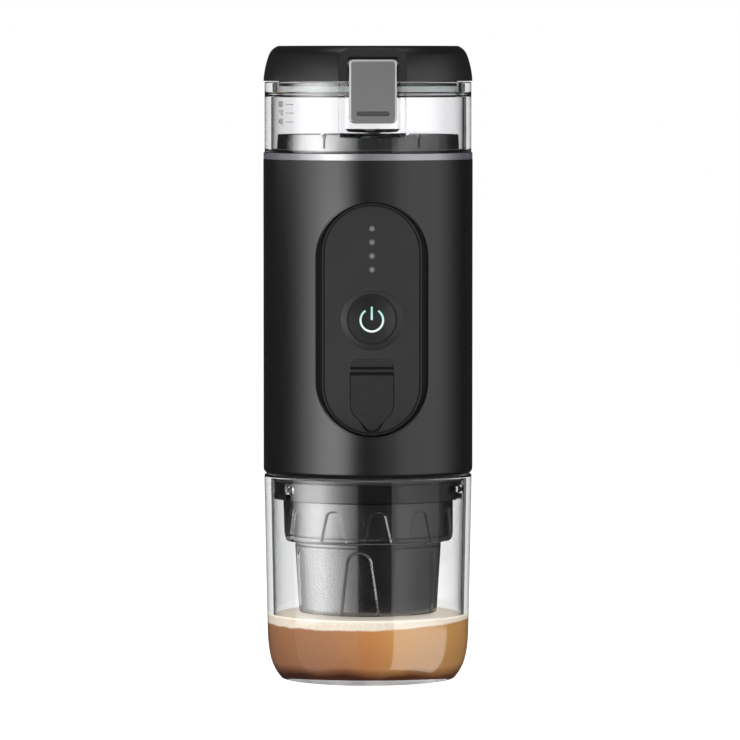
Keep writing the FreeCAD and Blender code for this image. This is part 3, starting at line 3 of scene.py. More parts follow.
import bmesh
import bpy
import numpy as np
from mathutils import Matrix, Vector


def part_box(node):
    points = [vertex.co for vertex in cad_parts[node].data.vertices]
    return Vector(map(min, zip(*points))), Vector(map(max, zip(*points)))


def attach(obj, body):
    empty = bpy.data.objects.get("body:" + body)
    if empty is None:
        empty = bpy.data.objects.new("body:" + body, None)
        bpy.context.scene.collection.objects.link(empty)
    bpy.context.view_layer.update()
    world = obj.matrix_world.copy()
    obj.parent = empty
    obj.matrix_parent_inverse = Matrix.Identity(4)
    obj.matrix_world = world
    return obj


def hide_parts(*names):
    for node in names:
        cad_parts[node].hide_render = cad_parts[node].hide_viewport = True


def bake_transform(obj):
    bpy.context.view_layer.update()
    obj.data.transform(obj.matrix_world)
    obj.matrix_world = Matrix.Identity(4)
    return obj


# Portable electric espresso maker, dressed piece by piece in the order in which it is put
# together, from the cup on the table up to the lid's latch. The sizes of new pieces are in
# millimetres, and become metres as the mesh is made; the studio and the materials are in metres.
# Angles are measured from the front towards +X.

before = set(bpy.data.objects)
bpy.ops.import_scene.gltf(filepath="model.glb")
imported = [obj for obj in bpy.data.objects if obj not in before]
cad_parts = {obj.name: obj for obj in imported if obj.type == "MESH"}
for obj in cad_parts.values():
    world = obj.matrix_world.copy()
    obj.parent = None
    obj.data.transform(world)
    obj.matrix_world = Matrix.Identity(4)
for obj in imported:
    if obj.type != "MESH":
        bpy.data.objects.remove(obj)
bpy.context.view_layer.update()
scene = bpy.context.scene
scene.view_settings.view_transform = "Standard"


# The studio: a white surround seen through the clear parts, a white paper floor, and a lens of
# 273 mm two metres in front. A curved wall of lamps stands round the object, out of the camera's
# sight: broad and bright on the left, weaker on the right, dark straight in front. What the clear
# walls mirror themselves, what is mirrored inside them, and the light on the rest are set apart.

def add_node(kind, inputs={}, owner=None, **settings):
    """The outputs of a new node whose inputs are set to numbers or linked to sockets. It belongs
    to its owner, a material or the surround, or else to whatever those sockets belong to."""
    sockets = {key: value for key, value in inputs.items() if isinstance(value, bpy.types.NodeSocket)}
    tree = owner.node_tree if owner else next(iter(sockets.values())).id_data
    node = tree.nodes.new("ShaderNode" + kind)
    for key, value in settings.items():
        setattr(node, key, value)
    for key, value in inputs.items():
        if key in sockets:
            tree.links.new(value, node.inputs[key])
        else:
            node.inputs[key].default_value = value
    return node.outputs


def reckon(operation, *values):
    """What a Math node makes of numbers and sockets."""
    return add_node("Math", dict(enumerate(values)), operation=operation)[0]


def times(first, second):
    return reckon("MULTIPLY", first, second)


def spread(value, low, high, start=0, end=1):
    """A value's range from low to high spread from start to end, and held there beyond it."""
    return add_node("MapRange", {"Value": value, "From Min": low, "From Max": high,
                                 "To Min": start, "To Max": end})[0]


def mix(share, first, second, **settings):
    """Two colours mixed by a share; each of them is a socket or three numbers."""
    first, second = (tone if isinstance(tone, bpy.types.NodeSocket) else (*tone, 1)
                     for tone in (first, second))
    return add_node("MixRGB", {"Fac": share, "Color1": first, "Color2": second}, **settings)[0]


def colour_ramp(factor, stops, interpolation="LINEAR"):
    """The colour for a factor, from (position, colour) stops in their order."""
    ramp = add_node("ValToRGB", {"Fac": factor})[0].node
    ramp.color_ramp.interpolation = interpolation
    points = ramp.color_ramp.elements
    for point, (position, colour) in zip(points, (stops[0], stops[-1])):
        point.position = position
        point.color = (*colour, 1)
    for position, colour in stops[1:-1]:
        points.new(position).color = (*colour, 1)
    return ramp.outputs["Color"]


def own_place(owner):
    """A piece's own coordinates."""
    return add_node("TexCoord", owner=owner)["Object"]


def own_axes(owner):
    """The X, Y and Z of a piece's own coordinates."""
    return add_node("SeparateXYZ", {"Vector": own_place(owner)})


surround = bpy.data.worlds.new("white_surround")
surround.use_nodes = True
surround.node_tree.nodes.clear()
scene.world = surround
ray = add_node("LightPath", owner=surround)
whole = add_node("TexCoord", owner=surround)["Generated"]
heading = add_node("SeparateXYZ", {"Vector": whole})
behind = reckon("GREATER_THAN", heading["Y"], 0.77)
below = reckon("LESS_THAN", heading["Z"], -0.15)
once = reckon("LESS_THAN", ray["Transmission Depth"], 3.5)
few = times(once, reckon("MAXIMUM", behind, below))
straight = reckon("LESS_THAN", ray["Glossy Depth"], 0.5)
open_view = reckon("MAXIMUM", few, straight)
through = times(open_view, ray["Is Transmission Ray"])
seen = reckon("MAXIMUM", ray["Is Camera Ray"], through)
dark, white = (add_node("Background", {"Color": (*colour, 1)}, surround)[0]
               for colour in ((0.03, 0.03, 0.031), (1, 1, 1)))
either = add_node("MixShader", {0: seen, 1: dark, 2: white})[0]
add_node("OutputWorld", {"Surface": either})


def lamp_ramp(stops, full=5):
    """Brightness round the object from (degrees, brightness) stops, as a share of the full one."""
    steps = [((degrees + 180) / 360, (level / full,) * 3) for degrees, level in stops]
    return colour_ramp(angle, [(0, (0, 0, 0)), *steps, (1, (0, 0, 0))])


def lamp_zones(lowest, *zones):
    """The lowest ramp, followed upwards by others that each take over between two heights."""
    for low, high, ramp in zones:
        lowest = mix(spread(height, low, high), lowest, ramp)
    return lowest


def brighter(colour, factor):
    return add_node("VectorMath", {0: colour, "Scale": factor}, operation="SCALE")[0]


glow = bpy.data.materials.new("lamp_glow")
glow.use_nodes = True
glow.node_tree.nodes.clear()
at = own_axes(glow)
height = at["Z"]
angle = spread(reckon("ARCTAN2", at["X"], times(at["Y"], -1)),
               -math.pi, math.pi)
body_light = lamp_ramp([
    (-130, 0), (-105, 0.03), (-90, 0.3), (-75, 1.4), (-60, 3.3), (-47, 4.9), (-36, 5), (-29, 4.5),
    (-22, 2.4), (-15, 0.45), (-7, 0), (0, 0.18), (15, 0.55), (24, 0.75), (32, 1.3), (45, 1.5),
    (60, 1.35), (75, 1.37), (82, 1.13), (90, 0.75), (105, 0.16), (120, 0)])
lid_light = lamp_ramp([
    (-125, 0), (-110, 3), (-75, 4), (-62, 1.3), (-45, 0.8), (-30, 0.48), (-15, 0.33), (0, 0.35),
    (15, 0.5), (30, 0.75), (45, 1.05), (60, 1.3), (75, 1.25), (90, 0.75), (105, 0.1), (120, 0)])
high_light = lamp_ramp([
    (-130, 0), (-105, 0.05), (-90, 0.25), (-75, 0.7), (-60, 1.2), (-45, 1.45), (-30, 1.2), (-15, 0.5),
    (0, 0.25), (15, 0.55), (32, 1.3), (45, 1.5), (60, 1.35), (75, 1.37), (90, 0.75), (105, 0.16), (120, 0)])
outside = lamp_zones(body_light, (0.206, 0.214, lid_light), (0.236, 0.25, high_light))
cone_light = lamp_ramp([
    (-165, 0), (-150, 0.47), (-135, 0.9), (-120, 2.1), (-105, 3.2), (-90, 3.8), (-75, 4.1), (-60, 3.1),
    (-45, 2.1), (-37, 1.6), (-30, 1.1), (-21, 1), (-18, 0.07), (-7, 0.02), (15, 0.02), (37, 0.05),
    (40, 0.5), (60, 0.44), (75, 0.35), (90, 0.27), (120, 0.22), (135, 0.13), (150, 0)], 6.5)
ring_light = lamp_ramp([
    (-118, 0), (-112, 0.5), (-99, 2.1), (-88, 3.4), (-77, 4.1), (-67, 4.1), (-58, 4), (-49, 3),
    (-41, 2.1), (-33, 1.5), (-24, 1), (-18, 0.5), (-14, 0.06), (0, 0.03), (20, 0.04), (32, 0.1),
    (36, 0.5), (50, 0.48), (69, 0.4), (91, 0.32), (104, 0.25), (112, 0.04), (125, 0)], 6.5)
inside = lamp_zones(cone_light, (-0.006, -0.001, ring_light))
wall_light = lamp_ramp([
    (-93, 0), (-92, 1.2), (-89, 1.6), (-80, 4.2), (-72, 6), (-64, 7), (-56, 7.2), (-49, 5.2),
    (-41, 3.2), (-34, 1.9), (-27, 1), (-20, 0.65), (-13.6, 0.55), (-12.6, 0), (22.6, 0), (23.6, 0.9),
    (34, 0.84), (48, 0.7), (64, 0.54), (81, 0.4), (82, 0)], 10)
drink_light = lamp_ramp([
    (-93, 0), (-92, 0.5), (-13.6, 0.3), (-12.6, 0), (26, 0), (27, 3.4), (60, 3.8), (95, 3), (99, 0)], 10)
mirrored = lamp_zones(drink_light, (-0.058, -0.053, wall_light))
ray = add_node("LightPath", owner=glow)
before = reckon("LESS_THAN", ray["Transmission Depth"], 0.5)
beyond = reckon("GREATER_THAN", ray["Transmission Depth"], 3.5)
crisp = reckon("LESS_THAN", ray["Diffuse Depth"], 0.5)
clean = times(crisp, ray["Is Singular Ray"])
by_wall = mix(beyond, mix(before, (0, 0, 0), brighter(mirrored, 2)), inside)
low_end = brighter(outside, spread(height, -0.09, -0.04))
shine = add_node("Emission", {"Color": mix(clean, low_end, by_wall), "Strength": 5})[0]
clear = add_node("BsdfTransparent", owner=glow)[0]
add_node("OutputMaterial", {"Surface": add_node("AddShader", {0: shine, 1: clear})[0]})


def lathe(profile, columns):
    """A profile turned about the Z axis: for each (radius, height) and each angle,
    x = radius * sin(angle) and y = -radius * cos(angle). Columns is a count or a list of angles."""
    profile = np.asarray(profile)
    angle = np.radians(columns) if np.ndim(columns) else np.linspace(0, 2 * np.pi, columns, endpoint=False)
    return np.stack([profile[:, :1] * np.sin(angle), -profile[:, :1] * np.cos(angle),
                     profile[:, 1:] + 0 * angle], -1)


def skin(grid, close_rows=False, close_columns=True):
    """A grid's points, and the four-sided faces between its neighbouring rows and columns."""
    rows, columns, axes = grid.shape
    row = np.arange(rows if close_rows else rows - 1)[:, None]
    column = np.arange(columns if close_columns else columns - 1)[None]
    below = row * columns
    above = (row + 1) % rows * columns
    beside = (column + 1) % columns
    faces = np.stack([below + column, below + beside, above + beside, above + column], -1)
    return grid.reshape(-1, axes), faces.reshape(-1, 4).tolist()


def put(name, data):
    """An object in the scene."""
    thing = bpy.data.objects.new(name, data)
    scene.collection.objects.link(thing)
    return thing


def put_mesh(name, points, faces, material):
    """An object made of points in metres, of faces and of one material."""
    mesh = bpy.data.meshes.new(name)
    mesh.from_pydata(points, [], faces)
    mesh.materials.append(material)
    return put(name, mesh)


def socket_of(material, name):
    """A socket of the Principled shader, by its name with _ for each space."""
    return material.node_tree.nodes["Principled BSDF"].inputs[name.replace("_", " ")]


def finish(name, colour, roughness, **sockets):
    """A material whose plain numbers stand on the Principled shader's own sockets."""
    material = bpy.data.materials.new(name)
    material.use_nodes = True
    for name, value in dict(sockets, Base_Color=(*colour, 1), Roughness=roughness).items():
        socket_of(material, name).default_value = value
    return material


def feed(material, **sources):
    """Sockets of the Principled shader that follow a worked-out value."""
    for name, source in sources.items():
        material.node_tree.links.new(source, socket_of(material, name))


def noise(material, scale, detail=2, stretch=(1, 1, 1)):
    """Noise in the piece's own coordinates; a stretch below one draws it out along that axis."""
    fit = add_node("Mapping", {"Vector": own_place(material), "Scale": stretch})[0]
    return add_node("TexNoise", {"Vector": fit, "Scale": scale, "Detail": detail})["Fac"]


lamp_wall = put_mesh("lamp_wall", *skin(
    lathe([(0.62, -0.5), (0.62, 0.5)], np.arange(0, 361, 5)), close_columns=False), glow)
lamp_wall.visible_camera = lamp_wall.visible_shadow = False

# Two upright black flags behind the object, seen only through the clear walls, which draw a thin
# dark line along each wall's inner edge.
card = finish("black_card", (0.015, 0.015, 0.015), 0.9)
feed(card, Base_Color=mix(noise(card, 300), (0.01, 0.01, 0.01), (0.02, 0.02, 0.02)))
for side in (-1, 1):
    flag = put_mesh("flag", *skin(
        lathe([(0.66, -0.1), (0.66, 0.5)], np.array([130, 146]) * side), close_columns=False), card)
    flag.visible_camera = flag.visible_shadow = flag.visible_diffuse = flag.visible_glossy = False

top_lamp = bpy.data.lights.new("top_softbox", "AREA")
top_lamp.shape = "RECTANGLE"
top_lamp.size = top_lamp.size_y = 0.5
top_lamp.energy = 2
top_box = put("top_softbox", top_lamp)
top_box.location = (0, -0.2, 0.8)
top_box.visible_camera = False

paper = finish("white_paper", (0.95, 0.95, 0.95), 0.9, Specular_IOR_Level=0.1,
               Emission_Color=(1, 1, 1, 1), Emission_Strength=1)
feed(paper, Base_Color=mix(noise(paper, 400, 3), (0.93, 0.93, 0.93), (0.97, 0.97, 0.97)))
floor = put_mesh("floor", [(-6, -6, 0), (6, -6, 0), (6, 6, 0), (-6, 6, 0)], [(0, 1, 2, 3)], paper)
floor.visible_glossy = floor.visible_transmission = floor.visible_shadow = False

lens = bpy.data.cameras.new("camera")
lens.lens = 273
lens.sensor_width = 36
lens.clip_end = 50
camera = put("camera", lens)
camera.location = (-0.0889, -2.0361, 0.2245)
aim = Vector((0.00073, 0.00003, 0.112))
camera.rotation_euler = (aim - camera.location).to_track_quat("-Z", "Y").to_euler()
scene.camera = camera


# The drinking cup: injection-moulded clear plastic with a 3 mm wall, a rounded foot and three
# lugs inside its mouth that slide into the collar's bayonet tracks.

def rounded(corners, steps=6, closed=False):
    """An outline through (a, b, round) corners. A corner with a round is replaced by a circular
    arc tangent to both sides, with one more point a short way along each of them."""
    count = len(corners)
    points = np.array([corner[:2] for corner in corners], float)
    path = []
    for index, corner in enumerate(corners):
        here = points[index]
        radius = corner[2] if len(corner) > 2 else 0
        if radius == 0 or (not closed and index in (0, count - 1)):
            path.append(here[None])
            continue
        back = points[index - 1] - here
        ahead = points[(index + 1) % count] - here
        room = 0.45 * min(np.hypot(*back), np.hypot(*ahead))
        back /= np.hypot(*back)
        ahead /= np.hypot(*ahead)
        half = math.acos(np.clip(back @ ahead, -1, 1)) / 2
        cut = radius / math.tan(half)
        middle = (back + ahead) / np.hypot(*(back + ahead))
        centre = here + middle * radius / math.sin(half)
        first = here + back * cut - centre
        last = here + ahead * cut - centre
        sweep = math.pi - 2 * half
        along = np.linspace(0, 1, steps + 1)[:, None]
        arc = centre + (np.sin((1 - along) * sweep) * first + np.sin(along * sweep) * last) / math.sin(sweep)
        extra = min(0.3 * radius + 0.05, max(room - cut, 0))
        path += [(here + back * (cut + extra))[None], arc, (here + ahead * (cut + extra))[None]]
    return np.concatenate(path)


def upright(radius, heights):
    """Points (radius, height) up a wall, whose radius may change with the height."""
    return np.stack([radius + 0 * heights, heights], -1)


def flowing(start, end, leave, arrive):
    """Points of a smooth side between two (radius, height) ends: a cubic in the height, with the
    radius growing by leave and by arrive per millimetre of height at its two ends."""
    along = np.linspace(0, 1, 14)[1:, None]
    rise = end[1] - start[1]
    radius = ((2 * along ** 3 - 3 * along ** 2 + 1) * start[0]
              + (along ** 3 - 2 * along ** 2 + along) * rise * leave
              + (3 * along ** 2 - 2 * along ** 3) * end[0] + (along ** 3 - along ** 2) * rise * arrive)
    return upright(radius, start[1] + rise * along)[:, 0]


def make_piece(name, skins, material, body, slot, *replaced):
    """One mesh from (points, faces) pairs in millimetres, its doubled points merged, its faces
    turned outwards, smooth but for its sharp edges; it rides on a body, if one is given."""
    touching, no_length, sharp = 2e-6, 1e-7, math.radians(35)
    points = np.concatenate([part for part, _ in skins]) * 0.001
    faces = []
    start = 0
    for part, part_faces in skins:
        faces += (np.array(part_faces) + start).tolist()
        start += len(part)
    piece = put_mesh(name, points, faces, material)
    mesh = piece.data
    work = bmesh.new()
    work.from_mesh(mesh)
    bmesh.ops.remove_doubles(work, verts=work.verts, dist=touching)
    bmesh.ops.dissolve_degenerate(work, edges=work.edges, dist=no_length)
    bmesh.ops.recalc_face_normals(work, faces=work.faces)
    work.to_mesh(mesh)
    work.free()
    mesh.polygons.foreach_set("use_smooth", np.ones(len(mesh.polygons), bool))
    mesh.set_sharp_from_angle(angle=sharp)
    if body:
        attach(piece, body)
    if replaced:
        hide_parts(*replaced)
    return piece


noise_range = (0.3, 0.7)


def pattern(material, factor):
    """A socket as it is, or noise of a scale alone, or of a scale, a detail and a stretch."""
    if isinstance(factor, bpy.types.NodeSocket):
        return factor
    return noise(material, *factor) if isinstance(factor, tuple) else noise(material, factor)


def vary_colour(material, factor, dark, light):
    """Base colour that runs from a dark to a light tone over the usual range of noise."""
    feed(material, Base_Color=colour_ramp(pattern(material, factor), [*zip(noise_range, (dark, light))]))


def vary_gloss(material, factor, low, high):
    """Roughness that drifts between two values."""
    feed(material, Roughness=spread(pattern(material, factor), *noise_range, low, high))


def shades(colour, *shares):
    """Darker and lighter tones of one colour."""
    return [[min(share * tone, 1) for tone in colour] for share in shares]


def bump(height, depth):
    """The shader's normal over a relief of a depth in metres."""
    return add_node("Bump", {"Height": height, "Strength": 1, "Distance": depth})[0]


def raise_grain(material, factor, depth):
    feed(material, Normal=bump(pattern(material, factor), depth))


def clear_plastic(name, tint, underside, **sockets):
    """Polished clear plastic with a faint uneven flow in its skin, and matt below one level."""
    material = finish(name, tint, 0, IOR=1.49, Transmission_Weight=1, **sockets)
    vary_colour(material, 30, *shades(tint, 0.992, 1))
    height = own_axes(material)["Z"]
    feed(material, Roughness=spread(height, underside + 0.00002, underside + 0.00025, 0.5, 0))
    raise_grain(material, (45, 2, (1, 1, 0.4)), 0.00002)
    return material


# Painted light: the lowest 0.3 mm of the cup's foot glows warm white in uneven streaks.
cup_clear = clear_plastic("cup_clear_plastic", (0.985, 0.99, 0.99), 0,
                          Emission_Color=(0.95, 0.92, 0.89, 1))
foot = spread(own_axes(cup_clear)["Z"], 0.00005, 0.0003, 1, 0)
painted_glow_streaks = spread(noise(cup_clear, 70), 0.35, 0.65, 0.02, 0.24)
feed(cup_clear, Emission_Strength=times(foot, painted_glow_streaks))
cup_profile = np.r_[
    [(0, 0), (31.2, 0), (31.55, 0.08), (31.8, 0.3)],
    flowing((31.8, 0.3), (35.5, 7.6), 0.84, 0.24),
    flowing((35.5, 7.6), (36.65, 20), 0.24, 0.02),
    rounded([(36.65, 20), (37.7, 74.4, 0.8), (34.7, 74.4, 0.8), (34.65, 71.6)]),
    [(34.64, 71.2), (34.64, 71), (34.63, 70.6), (34.61, 68.9), (34.6, 68.5), (34.6, 68.3), (34.59, 67.9)],
    rounded([(33.65, 20), (33.65, 2.5, 10), (0, 2.5)], steps=14)]
lug_angles = np.array([65, 185, 305])[:, None]
lug_reach = 1.1
lug_edges = np.array([-3.3, -2.8, -2.4, 2.4, 2.8, 3.3])
cup_columns = np.sort(np.r_[np.arange(0, 360, 1.5), *(lug_angles + lug_edges)])
cup_points = lathe(cup_profile, cup_columns)
off_lug = np.abs(cup_columns - lug_angles).min(0)
lug_shape = np.interp(off_lug, [2.4, 3.2], [1, 0]) * np.interp(
    cup_profile[:, 1:], [68.3, 68.9, 70.6, 71.2], [0, 1, 1, 0]) * (cup_profile[:, :1] < 34.66)
cup_points[..., :2] *= 1 - lug_shape[..., None] * lug_reach / 34.6
make_piece("cup_shell", [skin(cup_points)], cup_clear, "cup", "clear_plastic", "drinking_cup")


# The drink: espresso with a pale foam on top, which rises a little towards the right. It lies
# against the cup's wall, so the thick wall magnifies it to the cup's full width, and a film of air
# under its middle lets the cup's floor shine.

def cells(material, scale, **settings):
    """A pattern of cells in the piece's own coordinates."""
    return add_node("TexVoronoi", {"Vector": own_place(material), "Scale": scale}, **settings)


drink = finish("espresso_and_foam", (0.75, 0.4, 0.125), 0.35, IOR=1.12)
at = own_axes(drink)
drift = spread(noise(drink, 60), 0, 1, -0.0015, 0.0015)
depth = spread(reckon("ADD", at["Z"], drift), 0.002, 0.02)
brown = colour_ramp(depth, [
    (0, (0.034, 0.008, 0.002)), (0.1, (0.08, 0.022, 0.005)), (0.19, (0.34, 0.165, 0.056)),
    (0.27, (0.6, 0.31, 0.105)), (1, (0.75, 0.4, 0.125))])
# Painted light across the drink: its colour is multiplied darker towards the left and lighter towards the
# right.
painted_light_across = colour_ramp(spread(at["X"], -0.036, 0.036), [
    (0, (0.55, 0.48, 0.75)), (0.25, (0.63, 0.57, 0.85)), (0.5, (0.86, 0.72, 0.8)),
    (0.62, (0.97, 0.95, 0.97)), (1, (0.85, 0.85, 0.95))])
coffee = mix(1, brown, painted_light_across, blend_type="MULTIPLY")
line = spread(at["X"], 0, 0.034, 0.0201, 0.0218)
ragged = reckon("ADD", line, spread(noise(drink, 180, 3), 0, 1, -0.0005, 0.0005))
foam = spread(reckon("SUBTRACT", at["Z"], ragged), -0.0003, 0.0003)
bubbles = cells(drink, 1300)["Distance"]
cream = mix(bubbles, (0.9, 0.84, 0.74), (0.79, 0.69, 0.56))
colour = mix(foam, coffee, cream)
# Painted light: the foam glows, more on its top surface, as if lit from above.
foam_top_glow = spread(at["Z"], 0.02305, 0.02318, 0.22, 0.55)
feed(drink, Base_Color=colour, Emission_Color=colour,
     Emission_Strength=times(foam, foam_top_glow))
raise_grain(drink, times(bubbles, foam), 0.00008)
drink_side = rounded([(23.2, 2.45), (33.7, 2.45, 10), (33.7, 20)], steps=14)
drink_profile = np.r_[
    [(0, 2.62), (23.6, 2.64), (26.4, 3)],
    drink_side[drink_side[:, 0] > 27],
    [(33.72, 22), (33.78, 23.7), (33.5, 23.65), (33, 23.45), (32, 23.3), (20, 23.2), (0, 23.2)]]
make_piece("espresso_drink", [skin(lathe(drink_profile, 180))], drink, "cup", "hose_silicone")


# The collar and its sealing ring: the body's glossy black lower end, moulded with the bayonet
# tracks for the cup's lugs, with a rubber O-ring that seals on the cup's wall.

def dress(material, *nodes):
    """Give a material to carried-over CAD nodes."""
    for node in nodes:
        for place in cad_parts[node].material_slots:
            place.material = material


def moulded(name, colour, roughness, grain=1800, depth=0.000004, **sockets):
    """Moulded plastic: fine grain, and slow drifts of tone and gloss where the melt flowed."""
    material = finish(name, colour, roughness, **sockets)
    vary_colour(material, (35, 2, (1, 1, 0.5)), *shades(colour, 0.85, 1.15))
    vary_gloss(material, 160, max(roughness - 0.03, 0.02), roughness + 0.03)
    raise_grain(material, grain, depth)
    return material


def rubber(name, colour, roughness=0.6):
    """Soft rubber: dull, with a dusty speckle."""
    material = finish(name, colour, roughness)
    vary_colour(material, (900, 4), *shades(colour, 0.8, 1.5))
    vary_gloss(material, 250, roughness - 0.08, roughness + 0.08)
    raise_grain(material, (1200, 3), 0.00001)
    return material


dress(moulded("collar_gloss_black", (0.003, 0.003, 0.0035), 0.14, IOR=1.9), "cup_collar")
dress(rubber("sealing_ring_rubber", (0.02, 0.02, 0.02)), "cup_seal")


# The filter holder: a glossy black screw ring with twelve shallow arch hollows for the fingers,
# and under it the long cone that guides the espresso down, with six taller hollows.

def hollows(radius, angles, heights, count, phase, half_widths, base, top, depth):
    """How deep a round wall is hollowed at each height and angle: zero outside an arch, the full
    depth inside it, and a smooth ramp across its edge. The arch narrows upwards in a straight
    line and closes in a half circle."""
    pitch = 360 / count
    turn = (angles - phase + pitch / 2) % pitch - pitch / 2
    across = np.abs(np.radians(turn)) * radius
    wide, narrow = half_widths
    spring = top - narrow
    side = narrow + (wide - narrow) * (spring - heights) / (spring - base)
    inside = np.where(heights < spring, np.minimum(side - across, heights - base),
                      narrow - np.hypot(across, heights - spring))
    share = np.clip((inside + 0.15) / 0.7, 0, 1)
    return depth * share * share * (3 - 2 * share)


holder_black = moulded("holder_gloss_black", (0.003, 0.003, 0.0035), 0.15, 2600, 0.0000004, IOR=2.5)
ring_wall, screw_wall = 30.9, 27.9
columns = np.linspace(0, 360, 640, endpoint=False)
ring_profile = np.r_[
    rounded([(27.3, 50.3), (30.8, 50.3, 2), (30.8, 52.5)]),
    [(30.6, 52.75), (30.6, 52.9), (ring_wall, 53.2)],
    upright(ring_wall, np.linspace(53.3, 63.4, 58)),
    rounded([(ring_wall, 64.4), (ring_wall, 65.7, 0.5), (28.6, 65.7)]),
    [(screw_wall, 65.7)],
    upright(screw_wall, np.linspace(65.95, 74.2, 34)),
    rounded([(screw_wall, 74.2), (screw_wall, 74.5, 0.2), (26.2, 74.5, 0.2), (26.2, 56), (27.3, 56)])]
ring_points = lathe(ring_profile, columns)
reach, height = ring_profile[:, :1], ring_profile[:, 1:]
cut = hollows(ring_wall, columns, height, 12, 4.1, (5.5, 3.1), 49.5, 62.7, 0.7) * (
    (reach > 28.5) & (height < 64))
thread_start, thread_lead, thread_height = 67.2, 6, 1.2
along = (columns - 90) % 180
ridge = thread_start + thread_lead * (along + np.array([[[0]], [[180]]])) / 360
lift = np.clip((0.75 - np.abs(height - ridge)) / 0.35, 0, 1) * (ridge < thread_start + 4.5)
thread = thread_height * lift.max(0) * ((np.abs(reach - screw_wall) < 0.05) & (height > 65.8))
ring_points[..., :2] *= 1 + ((thread - cut) / reach)[..., None]
make_piece("holder_ring", [skin(ring_points, close_rows=True)],
           holder_black, "portafilter", "black_plastic", "portafilter_ring")

columns = np.linspace(0, 360, 720, endpoint=False)
height = np.unique(np.r_[np.linspace(24.75, 51.1, 92), np.linspace(48.5, 49.6, 12)])
reach = 25 + 1.7 * (height - 24.4) / 26.7
groove = 0.3 * np.exp(-((height - 49.05) / 0.22) ** 2)
cone_profile = np.r_[
    rounded([(23.4, 32), (23.4, 24.4, 0.3), (25, 24.4, 0.3), (25.03, 24.75)], steps=3),
    upright(reach - groove, height),
    [(26.7, 51.4), (27.1, 51.4), (27.1, 55), (25.5, 55), (25.5, 51.4)]]
cone_points = lathe(cone_profile, columns)
reach, height = cone_profile[:, :1], cone_profile[:, 1:]
cut = hollows(26, columns, height, 6, -9.3, (7.7, 4.6), 22, 47.7, 0.8) * (
    (reach > 24.9) & (height < 51.2))
cone_points[..., :2] *= 1 - (cut / reach)[..., None]
make_piece("spout_cone_shell", [skin(cone_points, close_rows=True)],
           holder_black, "portafilter", "black_plastic", "spout_cone")


# Inside the holder: the pressed steel filter basket with the brown film that coffee leaves, the
# moulded funnel under it, and the pale silicone gasket that the holder screws up against.

def distance(across, up):
    """How far a point lies from where two values are both zero."""
    spot = add_node("CombineXYZ", {"X": across, "Y": up})[0]
    return add_node("VectorMath", {0: spot}, operation="LENGTH")["Value"]


def rings(material, scale):
    """Turning lines: noise that only changes with the distance from the Z axis and the height."""
    at = own_axes(material)
    along = add_node("CombineXYZ", {"X": distance(at["X"], at["Y"]), "Y": at["Z"]})[0]
    return add_node("TexNoise", {"Vector": along, "Scale": scale, "Detail": 3})["Fac"]


def turned_metal(name, colour, roughness, scale=1500):
    """Metal spun or turned about the Z axis."""
    material = finish(name, colour, roughness, Metallic=1)
    vary_colour(material, 50, *shades(colour, 0.88, 1.08))
    vary_gloss(material, 220, roughness - 0.05, roughness + 0.06)
    raise_grain(material, rings(material, scale), 0.000006)
    return material


basket_steel = turned_metal("basket_steel", (0.52, 0.5, 0.47), 0.28)
vary_colour(basket_steel, (110, 5), (0.3, 0.22, 0.15), (0.6, 0.59, 0.57))
dress(basket_steel, "filter_basket")
dress(moulded("funnel_plastic", (0.022, 0.021, 0.02), 0.35), "spout_insert")


def silicone(name, colour):
    """Translucent silicone rubber with a soft gloss."""
    material = finish(name, colour, 0.4, Subsurface_Weight=0.5, Subsurface_Scale=0.003)
    vary_colour(material, 120, *shades(colour, 0.86, 1.06))
    vary_gloss(material, 400, 0.34, 0.48)
    raise_grain(material, 900, 0.000008)
    return material


dress(silicone("gasket_silicone", (0.7, 0.66, 0.58)), "brew_gasket")


# The brew head: a thick dark moulding with the thread for the holder, and the spun steel shower
# plate that a single screw holds against it.

dress(moulded("brew_head_plastic", (0.022, 0.022, 0.023), 0.4, depth=0.000008), "brew_head")
dress(turned_metal("shower_plate_steel", (0.58, 0.57, 0.55), 0.22, 900), "shower_plate")
dress(turned_metal("shower_screw_steel", (0.5, 0.49, 0.47), 0.3), "shower_screw")


# The frame in the body: two ribbed decks of glass-filled plastic, drawn aluminium posts between
# them, and the zinc-plated screws that hold the decks to the posts.

def drawn_metal(name, colour, roughness, stretch=(1, 1, 0.04)):
    """Drawn or rolled metal with fine lines along one axis."""
    material = finish(name, colour, roughness, Metallic=1)
    vary_colour(material, 90, *shades(colour, 0.85, 1.1))
    vary_gloss(material, 300, roughness - 0.06, roughness + 0.06)
    raise_grain(material, (2200, 4, stretch), 0.000006)
    return material


deck_plastic = moulded("deck_filled_plastic", (0.028, 0.028, 0.029), 0.5, 700, 0.00001)
dress(deck_plastic, "bottom_deck", "top_deck")
dress(drawn_metal("post_aluminium", (0.66, 0.67, 0.69), 0.34), "frame_posts")
dress(turned_metal("screw_zinc_plate", (0.62, 0.62, 0.56), 0.32, 2500),
      "deck_screws", "board_screws", "heater_screws")


# The outer sleeve: an aluminium tube, drawn, cut out at the front for the controls, and coated
# satin black, so the drawing lines stay just visible under the coat.

sleeve_coat = finish("sleeve_satin_coat", (0.0045, 0.0045, 0.005), 0.25)
vary_colour(sleeve_coat, (25, 2, (1, 1, 0.3)), (0.004, 0.004, 0.0044), (0.005, 0.005, 0.0056))
vary_gloss(sleeve_coat, (500, 4, (1, 1, 0.03)), 0.235, 0.265)
raise_grain(sleeve_coat, (1500, 4, (1, 1, 0.05)), 0.0000015)
dress(sleeve_coat, "outer_sleeve")


# The control panel: a satin black face moulded with its rim groove, the button's cone and the
# port's pocket, clipped into a darker bezel that fills the sleeve's cut-out.

def fed_by(material, name):
    """What a socket of the Principled shader follows so far."""
    return socket_of(material, name).links[0].from_socket


